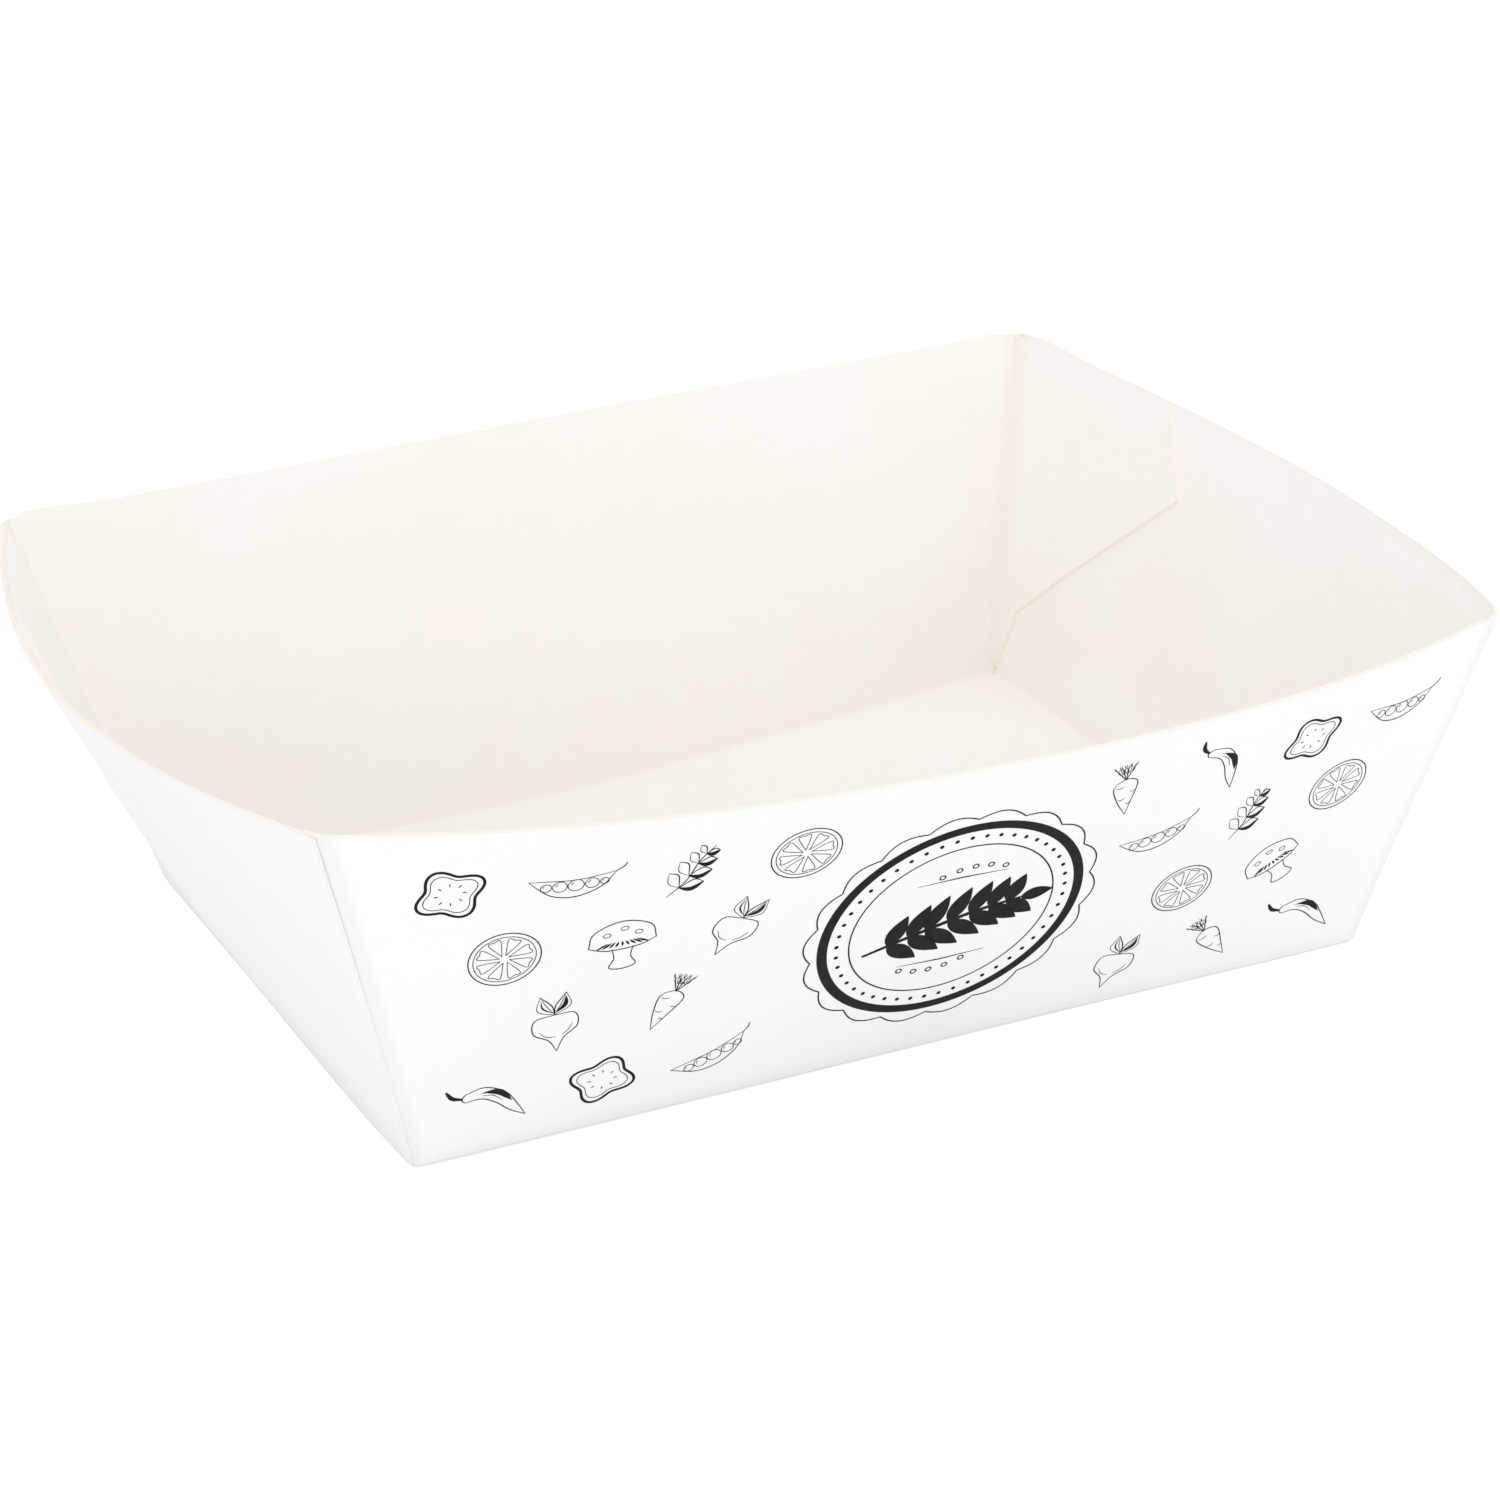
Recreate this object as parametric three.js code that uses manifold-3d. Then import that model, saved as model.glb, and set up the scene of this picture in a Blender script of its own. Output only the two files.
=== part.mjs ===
// Food tray folded and glued from one sheet of paperboard.
// Millimetres, +Z up, origin on the table under the middle of the bottom, long side along X.
//
// Each wall is a ruled sheet: straight rulings run from its crease on the bottom up to a rim that
// bows outward and dips in the middle. Both long walls turn the corners in a small bend and go on
// as glue flaps, which lie against the inside of the short walls.

import * as THREE from "three";
import Module from "manifold-3d";

// Sheet
const BOARD = 0.45;
const CREASE_RADIUS = 0.9;
const GLUE_PRESS = 0.07;

// Bottom, between the outer faces of the walls
const BOTTOM_LENGTH = 118.5;
const BOTTOM_WIDTH = 85.5;

// How far the bottom's middle has crept from under the rim's middle in the folding
const BOTTOM_CREEP_X = 0.95;
const BOTTOM_CREEP_Y = -0.8;

// The back right corner of the bottom, which the glued tray holds off the table
const CORNER_LIFT = 3.8;
const LIFT_FROM_X = -6;
const LIFT_FROM_Y = -8;
const LIFT_POWER = 1.3;

// Rim corners, where the walls would meet in sharp points
const CORNER_LENGTH = 140.7;
const CORNER_WIDTH = 110.5;
const CORNER_HEIGHT = 45.5;

// How far each rim corner stands above or below the level one, as the folded tray settles
const RISE_FRONT_LEFT = 0.4;
const RISE_FRONT_RIGHT = -3.2;
const RISE_BACK_LEFT = -0.2;
const RISE_BACK_RIGHT = 2.5;

// Rim curves: outward bow and downward dip at mid wall, and the power that shapes them
const LONG_BOW = 8.1;
const LONG_DIP = 2.6;
const LONG_POWER = 2.4;
const SHORT_BOW = 9.6;
const SHORT_DIP = 1.9;
const SHORT_POWER = 1.9;

// Corner bends between a long wall and its glue flaps
const BEND_REACH = 1.1;
const BEND_LEAD = 0.8;
const CORNER_DROP = 0.8;
const CORNER_DROP_REACH = 1.4;

// Cut side edges of the short walls, measured back from the corner
const EDGE_INSET_FOOT = 0.8;
const EDGE_INSET_RIM = 1.7;
const EDGE_BLUNT = 0.5;
const EDGE_BLUNT_REACH = 2;

// Glue flap outline: reach along the short wall and height on it
const FLAP_TOP_REACH = 31.1;
const FLAP_SHOULDER_REACH = 35.1;
const FLAP_SHOULDER_HEIGHT = 38;
const FLAP_HEEL_REACH = 6.1;
const FLAP_HEEL_HEIGHT = 11.9;
const FLAP_FOOT_REACH = 2.1;
const FLAP_FOOT_HEIGHT = 1.4;
const FLAP_START = 0.3;
const FLAP_STEP = 0.02;

// Steps of the faceted surfaces
const LONG_STEPS = 20;
const SHORT_STEPS = 16;
const WALL_ROWS = 6;
const ARC_STEPS = 3;
const BEND_STEPS = 4;
const FLAP_STEPS = 7;
const LIFT_STEP = 16;

// The overlap that joins the bottom ends of the long walls to the bottom panel
const LIP = 0.25;
const GLUE_DEPTH = BOARD - GLUE_PRESS;

const UP = new THREE.Vector3(0, 0, 1);

const RISES = new Map([
  ["-1,-1", RISE_FRONT_LEFT],
  ["1,-1", RISE_FRONT_RIGHT],
  ["-1,1", RISE_BACK_LEFT],
  ["1,1", RISE_BACK_RIGHT],
]);

function cornerTop(sideX, sideY) {
  const height = CORNER_HEIGHT + RISES.get(`${sideX},${sideY}`);
  return new THREE.Vector3(sideX * CORNER_LENGTH / 2, sideY * CORNER_WIDTH / 2, height);
}

function cornerFoot(sideX, sideY) {
  const x = BOTTOM_CREEP_X + sideX * BOTTOM_LENGTH / 2;
  return new THREE.Vector3(x, BOTTOM_CREEP_Y + sideY * BOTTOM_WIDTH / 2, 0);
}

function bulge(along, power) {
  return 1 - Math.abs(2 * along) ** power;
}

// Row lengths at height share v, from corner to corner
function longRow(v) {
  return THREE.MathUtils.lerp(BOTTOM_LENGTH, CORNER_LENGTH, v);
}

function shortRow(v) {
  return THREE.MathUtils.lerp(BOTTOM_WIDTH, CORNER_WIDTH, v);
}

// A point on the outer face of a long wall, u along it from -0.5 to 0.5 and v up it from 0 to 1
function longFace(sideY, u, v) {
  const foot = cornerFoot(-1, sideY).lerp(cornerFoot(1, sideY), u + 0.5);
  const rim = cornerTop(-1, sideY).lerp(cornerTop(1, sideY), u + 0.5);
  const shape = bulge(u, LONG_POWER);
  rim.y += sideY * LONG_BOW * shape;
  rim.z -= LONG_DIP * shape;
  return foot.lerp(rim, v);
}

function shortFace(sideX, u, v) {
  const foot = cornerFoot(sideX, -1).lerp(cornerFoot(sideX, 1), u + 0.5);
  const rim = cornerTop(sideX, -1).lerp(cornerTop(sideX, 1), u + 0.5);
  const shape = bulge(u, SHORT_POWER);
  rim.x += sideX * SHORT_BOW * shape;
  rim.z -= SHORT_DIP * shape;
  return foot.lerp(rim, v);
}

// The outward normal of a wall face at (u, v)
function faceNormal(face, side, u, v, outward) {
  const step = 0.001;
  const along = face(side, u + step, v).sub(face(side, u - step, v));
  const up = face(side, u, v + step).sub(face(side, u, v - step));
  const normal = along.cross(up).normalize();
  if (normal.dot(outward) < 0) {
    normal.negate();
  }
  return normal;
}

// A spot on the board: the point on its outer face and the outward normal there
function longSpot(sideY, u, v) {
  const normal = faceNormal(longFace, sideY, u, v, new THREE.Vector3(0, sideY, 0));
  return { point: longFace(sideY, u, v), normal };
}

function shortSpot(sideX, u, v, depth) {
  const normal = faceNormal(shortFace, sideX, u, v, new THREE.Vector3(sideX, 0, 0));
  const point = shortFace(sideX, u, v).addScaledVector(normal, -depth);
  return { point, normal };
}

// The corner that the long wall turns, one glued board inside the short wall's outer face
function innerCorner(sideX, sideY, v) {
  const corner = cornerFoot(sideX, sideY).lerp(cornerTop(sideX, sideY), v);
  corner.x -= sideX * GLUE_DEPTH;
  return corner;
}

function longSpotFromCorner(sideX, sideY, reach, v) {
  const u = sideX * (0.5 - (reach + GLUE_DEPTH) / longRow(v));
  return longSpot(sideY, u, v);
}

function flapSpot(sideX, sideY, reach, v, depth) {
  const u = sideY * (0.5 - reach / shortRow(v));
  return shortSpot(sideX, u, v, depth);
}

// The bend, a quadratic curve from the long wall (t = 0) round the corner to the flap (t = 1)
function bendSpot(sideX, sideY, t, v) {
  const from = longSpotFromCorner(sideX, sideY, BEND_REACH, v);
  const to = flapSpot(sideX, sideY, BEND_REACH, v, GLUE_DEPTH);
  const curve = new THREE.QuadraticBezierCurve3(from.point, innerCorner(sideX, sideY, v), to.point);
  const normal = from.normal.clone().lerp(to.normal, t).normalize();
  return { point: curve.getPoint(t), normal };
}

// One column of a wall: the crease arc from the bottom panel, then rows up to the rim
function wallColumn(spotAt, topShare, withLip) {
  const foot = spotAt(0);
  const up = spotAt(0.02).point.sub(foot.point);
  const out = new THREE.Vector3(foot.normal.x, foot.normal.y, 0).normalize();
  const slope = Math.atan2(up.z, up.dot(out));
  const tangent = CREASE_RADIUS * Math.tan(slope / 2);
  const aside = up.clone().addScaledVector(out, -up.dot(out));
  aside.z = 0;
  const creaseTop = 0.02 * tangent / up.length();
  const centre = foot.point.clone().addScaledVector(out, -tangent);
  centre.z = CREASE_RADIUS;
  const rows = [];
  if (withLip) {
    const point = centre.clone().addScaledVector(out, -LIP);
    point.z = 0;
    rows.push({ point, normal: UP.clone().negate() });
  }
  for (let i = 0; i < ARC_STEPS; i += 1) {
    const angle = slope * i / ARC_STEPS;
    const normal = out.clone().multiplyScalar(Math.sin(angle)).addScaledVector(UP, -Math.cos(angle));
    const point = centre.clone().addScaledVector(normal, CREASE_RADIUS);
    point.addScaledVector(aside, point.z / up.z);
    rows.push({ point, normal });
  }
  for (let j = 0; j <= WALL_ROWS; j += 1) {
    rows.push(spotAt(THREE.MathUtils.lerp(creaseTop, topShare, j / WALL_ROWS)));
  }
  return rows;
}

// A closed body of the board's thickness from a grid of spots, columns of equal length
function boardFromGrid(grid, thickness) {
  const columns = grid.length;
  const rows = grid[0].length;
  const outer = grid.flat().map((spot) => spot.point);
  const inner = grid.flat().map((spot) => spot.point.clone().addScaledVector(spot.normal, -thickness));
  const points = outer.concat(inner);
  const faces = [];
  const quad = (a, b, c, d) => faces.push([a, b, c], [a, c, d]);
  const at = (i, j, layer) => layer * columns * rows + i * rows + j;
  for (let i = 0; i + 1 < columns; i += 1) {
    for (let j = 0; j + 1 < rows; j += 1) {
      quad(at(i, j, 0), at(i + 1, j, 0), at(i + 1, j + 1, 0), at(i, j + 1, 0));
      quad(at(i, j, 1), at(i, j + 1, 1), at(i + 1, j + 1, 1), at(i + 1, j, 1));
    }
    quad(at(i, 0, 1), at(i + 1, 0, 1), at(i + 1, 0, 0), at(i, 0, 0));
    quad(at(i, rows - 1, 0), at(i + 1, rows - 1, 0), at(i + 1, rows - 1, 1), at(i, rows - 1, 1));
  }
  for (let j = 0; j + 1 < rows; j += 1) {
    quad(at(0, j, 0), at(0, j + 1, 0), at(0, j + 1, 1), at(0, j, 1));
    const end = columns - 1;
    quad(at(end, j, 0), at(end, j, 1), at(end, j + 1, 1), at(end, j + 1, 0));
  }
  return { points, faces };
}

function signedVolume({ points, faces }) {
  let total = 0;
  for (const [a, b, c] of faces) {
    total += points[a].dot(points[b].clone().cross(points[c]));
  }
  return total / 6;
}

function toManifold(wasm, body) {
  const flip = signedVolume(body) < 0;
  const vertProperties = new Float32Array(body.points.flatMap((point) => point.toArray()));
  const triVerts = new Uint32Array(body.faces.flatMap(([a, b, c]) => (flip ? [a, c, b] : [a, b, c])));
  return new wasm.Manifold(new wasm.Mesh({ numProp: 3, vertProperties, triVerts }));
}

// How much of the wall's height the rim loses towards a corner
function dropShare(drop, reach, distance, height) {
  const near = THREE.MathUtils.clamp(1 - distance / reach, 0, 1);
  return 1 - drop * near / height;
}

function wallHeight(sideX, sideY) {
  return cornerTop(sideX, sideY).distanceTo(cornerFoot(sideX, sideY));
}

// Columns of a long wall: lead on one short side, bend, wall, bend and lead on the other side
function longWallGrid(sideY) {
  const grid = [];
  const bend = (sideX, t) => {
    const top = 1 - CORNER_DROP / wallHeight(sideX, sideY);
    grid.push(wallColumn((v) => bendSpot(sideX, sideY, t, v), top, true));
  };
  const lead = (sideX) => {
    const top = 1 - CORNER_DROP / wallHeight(sideX, sideY);
    const reach = BEND_REACH + BEND_LEAD;
    grid.push(wallColumn((v) => flapSpot(sideX, sideY, reach, v, GLUE_DEPTH), top, true));
  };
  const near = (sideX, reach) => {
    const top = dropShare(CORNER_DROP, CORNER_DROP_REACH, reach - BEND_REACH, wallHeight(sideX, sideY));
    grid.push(wallColumn((v) => longSpotFromCorner(sideX, sideY, reach, v), top, true));
  };
  lead(-1);
  for (let i = BEND_STEPS; i >= 1; i -= 1) {
    bend(-1, i / BEND_STEPS);
  }
  near(-1, BEND_REACH);
  near(-1, BEND_REACH + CORNER_DROP_REACH / 2);
  near(-1, BEND_REACH + CORNER_DROP_REACH);
  for (let i = 1; i < LONG_STEPS; i += 1) {
    const u = i / LONG_STEPS - 0.5;
    grid.push(wallColumn((v) => longSpot(sideY, u, v), 1, true));
  }
  near(1, BEND_REACH + CORNER_DROP_REACH);
  near(1, BEND_REACH + CORNER_DROP_REACH / 2);
  near(1, BEND_REACH);
  for (let i = 1; i <= BEND_STEPS; i += 1) {
    bend(1, i / BEND_STEPS);
  }
  lead(1);
  return grid;
}

// Across shares of the short strip, from -1 to 1, with extra columns at the cut edges
function stripShares() {
  const shares = [];
  for (let i = 1; i < SHORT_STEPS; i += 1) {
    shares.push(2 * i / SHORT_STEPS - 1);
  }
  const edge = 2 * EDGE_BLUNT_REACH / CORNER_WIDTH;
  return [-1, edge - 1, ...shares, 1 - edge, 1];
}

// The strip of both short walls and the bottom panel between them
function shortStripGrid() {
  return stripShares().map((share) => {
    const spotAt = (sideX) => (v) => {
      const inset = THREE.MathUtils.lerp(EDGE_INSET_FOOT, EDGE_INSET_RIM, v);
      return shortSpot(sideX, share * (0.5 - inset / shortRow(v)), v, 0);
    };
    const distance = (1 - Math.abs(share)) * CORNER_WIDTH / 2;
    const top = dropShare(EDGE_BLUNT, EDGE_BLUNT_REACH, distance, CORNER_HEIGHT);
    const left = wallColumn(spotAt(-1), top, false);
    const right = wallColumn(spotAt(1), top, false);
    return left.reverse().concat(right);
  });
}

// The reach of a glue flap at each height, from its foot to its top edge
function flapOutline(height) {
  return [
    [FLAP_FOOT_HEIGHT, FLAP_FOOT_REACH],
    [FLAP_HEEL_HEIGHT, FLAP_HEEL_REACH],
    [(FLAP_HEEL_HEIGHT + FLAP_SHOULDER_HEIGHT) / 2, (FLAP_HEEL_REACH + FLAP_SHOULDER_REACH) / 2],
    [FLAP_SHOULDER_HEIGHT, FLAP_SHOULDER_REACH],
    [height - CORNER_DROP, FLAP_TOP_REACH],
  ];
}

function flapGrid(sideX, sideY) {
  const height = wallHeight(sideX, sideY);
  const grid = [];
  for (let i = 0; i <= FLAP_STEPS; i += 1) {
    const column = flapOutline(height).map(([level, reach]) => {
      const at = THREE.MathUtils.lerp(FLAP_START + BEND_REACH, reach, i / FLAP_STEPS);
      return flapSpot(sideX, sideY, at, level / height, GLUE_DEPTH - FLAP_STEP);
    });
    grid.push(column);
  }
  return grid;
}

// Raises the lifted corner of the bottom, fading out towards the rim and the other corners
function liftCorner(vertex) {
  const shareX = (vertex[0] - LIFT_FROM_X) / (cornerFoot(1, 1).x - LIFT_FROM_X);
  const shareY = (vertex[1] - LIFT_FROM_Y) / (cornerFoot(1, 1).y - LIFT_FROM_Y);
  const across = THREE.MathUtils.clamp(shareX, 0, 1) * THREE.MathUtils.clamp(shareY, 0, 1);
  const below = THREE.MathUtils.clamp(1 - vertex[2] / CORNER_HEIGHT, 0, 1);
  vertex[2] += CORNER_LIFT * across ** LIFT_POWER * below;
}

function toGeometry(solid) {
  const mesh = solid.getMesh();
  const geometry = new THREE.BufferGeometry();
  geometry.setAttribute("position", new THREE.BufferAttribute(Float32Array.from(mesh.vertProperties), 3));
  geometry.setIndex(new THREE.BufferAttribute(Uint32Array.from(mesh.triVerts), 1));
  geometry.computeVertexNormals();
  return geometry;
}

const wasm = await Module();
wasm.setup();

let sheet = toManifold(wasm, boardFromGrid(shortStripGrid(), BOARD));
for (const sideY of [-1, 1]) {
  sheet = sheet.add(toManifold(wasm, boardFromGrid(longWallGrid(sideY), BOARD)));
  for (const sideX of [-1, 1]) {
    sheet = sheet.add(toManifold(wasm, boardFromGrid(flapGrid(sideX, sideY), BOARD + FLAP_STEP)));
  }
}

const board = new THREE.MeshStandardMaterial({ color: 0xf6f2ed, roughness: 0.8, metalness: 0 });

const tray = new THREE.Mesh(toGeometry(sheet.refineToLength(LIFT_STEP).warp(liftCorner)), board);
tray.name = "tray";

const part = new THREE.Group();
part.add(tray);

export default part;
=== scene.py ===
"""A folded paperboard food tray: its board, its printed line work, and the studio round it."""

import logging
import math
from collections.abc import Callable
from dataclasses import dataclass, field
from enum import Enum, IntEnum
from typing import Any, TypeVar

import bpy
import numpy as np
from mathutils import Matrix, Vector


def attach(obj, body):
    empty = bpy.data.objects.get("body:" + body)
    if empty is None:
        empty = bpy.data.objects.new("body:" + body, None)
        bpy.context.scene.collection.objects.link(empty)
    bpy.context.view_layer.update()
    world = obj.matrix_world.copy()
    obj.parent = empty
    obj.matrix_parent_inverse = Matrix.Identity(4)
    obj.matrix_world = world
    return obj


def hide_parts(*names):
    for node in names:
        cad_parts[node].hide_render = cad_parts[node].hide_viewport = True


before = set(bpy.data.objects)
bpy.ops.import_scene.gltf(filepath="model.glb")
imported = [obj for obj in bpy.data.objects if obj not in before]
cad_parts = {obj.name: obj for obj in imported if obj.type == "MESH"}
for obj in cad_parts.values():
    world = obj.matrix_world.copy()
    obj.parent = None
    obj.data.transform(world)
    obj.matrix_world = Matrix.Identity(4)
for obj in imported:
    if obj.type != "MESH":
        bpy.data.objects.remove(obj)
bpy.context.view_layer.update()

logging.basicConfig(level=logging.INFO, format="%(name)s: %(message)s")
log = logging.getLogger("tray")

MM = 0.001
UP = np.array([0.0, 0.0, 1.0])
FLAT = np.array([1.0, 1.0, 0.0])
Corner = tuple[int, int]
Pair = tuple[float, float]
Triple = tuple[float, float, float]
Spots = tuple[np.ndarray, np.ndarray]
Value = TypeVar("Value")


class Finish(IntEnum):
    """The three surfaces of the board, in the order of the sheet's material slots."""

    OUTSIDE = 0
    INSIDE = 1
    CUT_EDGE = 2


class Side(IntEnum):
    """Which end of an axis a wall stands at."""

    LOW = -1
    HIGH = 1


def by_corner(
    near_left: Value, near_right: Value, far_left: Value, far_right: Value
) -> dict[Corner, Value]:
    """Return the values keyed by each corner's ends of X and Y."""
    return {(-1, -1): near_left, (1, -1): near_right, (-1, 1): far_left, (1, 1): far_right}


def lerp(start: np.ndarray, end: np.ndarray, share: np.ndarray) -> np.ndarray:
    """Return the values between start and end at a share from 0 to 1."""
    return start + (end - start) * share


def smooth_share(value: np.ndarray | float, low: float, high: float) -> np.ndarray:
    """Return 0 below low and 1 above high, with a smooth rise between them."""
    share = np.clip((value - low) / (high - low), 0.0, 1.0)
    return share * share * (3.0 - 2.0 * share)


def unit(vectors: np.ndarray) -> np.ndarray:
    """Return the vectors scaled to length one."""
    return vectors / np.linalg.norm(vectors, axis=-1, keepdims=True)


def add_to_scene(name: str, data: bpy.types.ID) -> bpy.types.Object:
    """Add an object to the scene.

    Args:
        name: The object's name.
        data: The mesh, lamp or camera that it shows.

    Returns:
        The new object.
    """
    thing = bpy.data.objects.new(name, data)
    bpy.context.scene.collection.objects.link(thing)
    return thing


def add_sockets(tree: bpy.types.NodeTree, way: str, kind: str, values: dict[str, float | None]) -> None:
    """Add sockets to a group's own inputs or outputs.

    Args:
        tree: The group's tree.
        way: INPUT or OUTPUT.
        kind: The sockets' type.
        values: Each socket's name with its default value, or None where it has none.
    """
    for label, value in values.items():
        socket = tree.interface.new_socket(label, in_out=way, socket_type=kind)
        if value is not None:
            socket.default_value = value


@dataclass
class NodeKit:
    """Adds nodes to a tree, each with its settings and its inputs."""

    tree: bpy.types.NodeTree

    def add(self, kind: str, inputs: dict[str | int, Any] | None = None, **settings: Any) -> bpy.types.Node:
        """Add a node.

        Args:
            kind: The node's type.
            inputs: Each input's value, or the output that is linked to it.
            settings: The node's own settings.

        Returns:
            The new node.
        """
        node = self.tree.nodes.new(kind)
        for name, value in settings.items():
            setattr(node, name, value)
        self.fill(node, inputs or {})
        return node

    def fill(self, node: bpy.types.Node, inputs: dict[str | int, Any]) -> None:
        """Set a node's inputs.

        Args:
            node: The node.
            inputs: Each input's value, or the output that is linked to it.
        """
        for name, value in inputs.items():
            if isinstance(value, bpy.types.NodeSocket):
                self.tree.links.new(value, node.inputs[name])
            else:
                node.inputs[name].default_value = value

    def maths(self, operation: str, first: Any, second: Any) -> bpy.types.NodeSocket:
        """Return the result of a sum with two values."""
        return self.add("ShaderNodeMath", {0: first, 1: second}, operation=operation).outputs["Value"]

    def ranged(self, value: Any, start: Pair = (0.0, 1.0), end: Pair = (0.0, 1.0)) -> bpy.types.NodeSocket:
        """Return a value carried over from the start range to the end range."""
        ends = {"From Min": start[0], "From Max": start[1], "To Min": end[0], "To Max": end[1]}
        return self.add("ShaderNodeMapRange", {"Value": value, **ends}).outputs["Result"]

    def mixed(self, share: Any, first: Any, second: Any, blend: str = "MIX") -> bpy.types.NodeSocket:
        """Return the colour mixed from two others by a share."""
        inputs = {"Factor": share, "A": first, "B": second}
        return self.add("ShaderNodeMix", inputs, data_type="RGBA", blend_type=blend).outputs["Result"]


def new_material(name: str) -> tuple[bpy.types.Material, NodeKit, bpy.types.Node]:
    """Make a material.

    Args:
        name: The material's name.
    """
    material = bpy.data.materials.new(name)
    material.use_nodes = True
    return material, NodeKit(material.node_tree), material.node_tree.nodes["Principled BSDF"]


# Shape of the folded sheet


@dataclass(frozen=True)
class CornerLift:
    """A bottom corner that the glued tray holds up off the table."""

    corner: Corner
    height: float
    start: Pair
    power: float

    def raised(self, points: np.ndarray, foot: np.ndarray) -> np.ndarray:
        """Return how far the bottom is raised.

        Args:
            points: Points on the bottom.
            foot: Where the corner would lie flat.

        Returns:
            The height at each point.
        """
        share_x = np.clip((points[..., 0] - self.start[0]) / (foot[0] - self.start[0]), 0.0, 1.0)
        share_y = np.clip((points[..., 1] - self.start[1]) / (foot[1] - self.start[1]), 0.0, 1.0)
        return self.height * share_x**self.power * smooth_share(share_y, 0.0, 1.0)


@dataclass(frozen=True)
class HandPush:
    """A small push that folding by hand left in the sheet, with its middle and its reach."""

    place: Triple
    reach: Triple
    shift: Triple

    def moved(self, points: np.ndarray) -> np.ndarray:
        """Return how far the points are pushed."""
        away = (points - np.array(self.place)) / np.array(self.reach)
        return np.exp(-(away**2).sum(axis=-1))[..., None] * np.array(self.shift)


@dataclass(frozen=True)
class SlowWaves:
    """The slow waves of folded board, strongest half way up the walls."""

    height: float = 46.0
    rim_share: float = 1.15
    strength: float = 2.4
    along_size: float = 0.10
    along_length: float = 13.0
    along_start: float = 0.7
    slant_size: float = 0.07
    slant_lengths: Pair = (17.0, 8.0)
    slant_start: float = 1.9
    full_at: Pair = (60.0, 45.0)

    def moved(self, points: np.ndarray) -> np.ndarray:
        """Return how far the points are moved outwards.

        Args:
            points: The sheet's points.

        Returns:
            The shift of each point.
        """
        x, y, z = np.moveaxis(points, -1, 0)
        share = z / self.height
        lift = np.clip(share, 0.0, 1.0) * np.clip(self.rim_share - share, 0.0, 1.0) * self.strength
        wave = self.along_size * np.sin(x / self.along_length + self.along_start)
        slant = y / self.slant_lengths[0] + z / self.slant_lengths[1] + self.slant_start
        wave = lift * (wave + self.slant_size * np.sin(slant))
        out_x, out_y = (np.clip(a / full, -1.0, 1.0) for a, full in zip((x, y), self.full_at))
        return np.stack([wave * out_x, wave * out_y, np.zeros(z.shape)], axis=-1)


@dataclass(frozen=True)
class Belly:
    """The slight swell of the short walls just above their creases."""

    depth: float = 0.25
    height: float = 9.0
    reach: float = 6.0
    foot_fade: Pair = (0.9, 6.0)
    wall_fade: Pair = (52.0, 58.0)
    half_width: float = 50.0

    def moved(self, points: np.ndarray) -> np.ndarray:
        """Return how far the points are moved outwards.

        Args:
            points: The sheet's points.

        Returns:
            The shift of each point.
        """
        x, y, z = np.moveaxis(points, -1, 0)
        swell = self.depth * np.exp(-(((z - self.height) / self.reach) ** 2))
        swell = swell * smooth_share(z, *self.foot_fade)
        on_wall = smooth_share(np.abs(x), *self.wall_fade) * np.sign(x)
        swell = swell * on_wall * np.clip(1 - (y / self.half_width) ** 2, 0.0, 1.0)
        return swell[..., None] * np.array([1.0, 0.0, 0.0])


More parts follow.
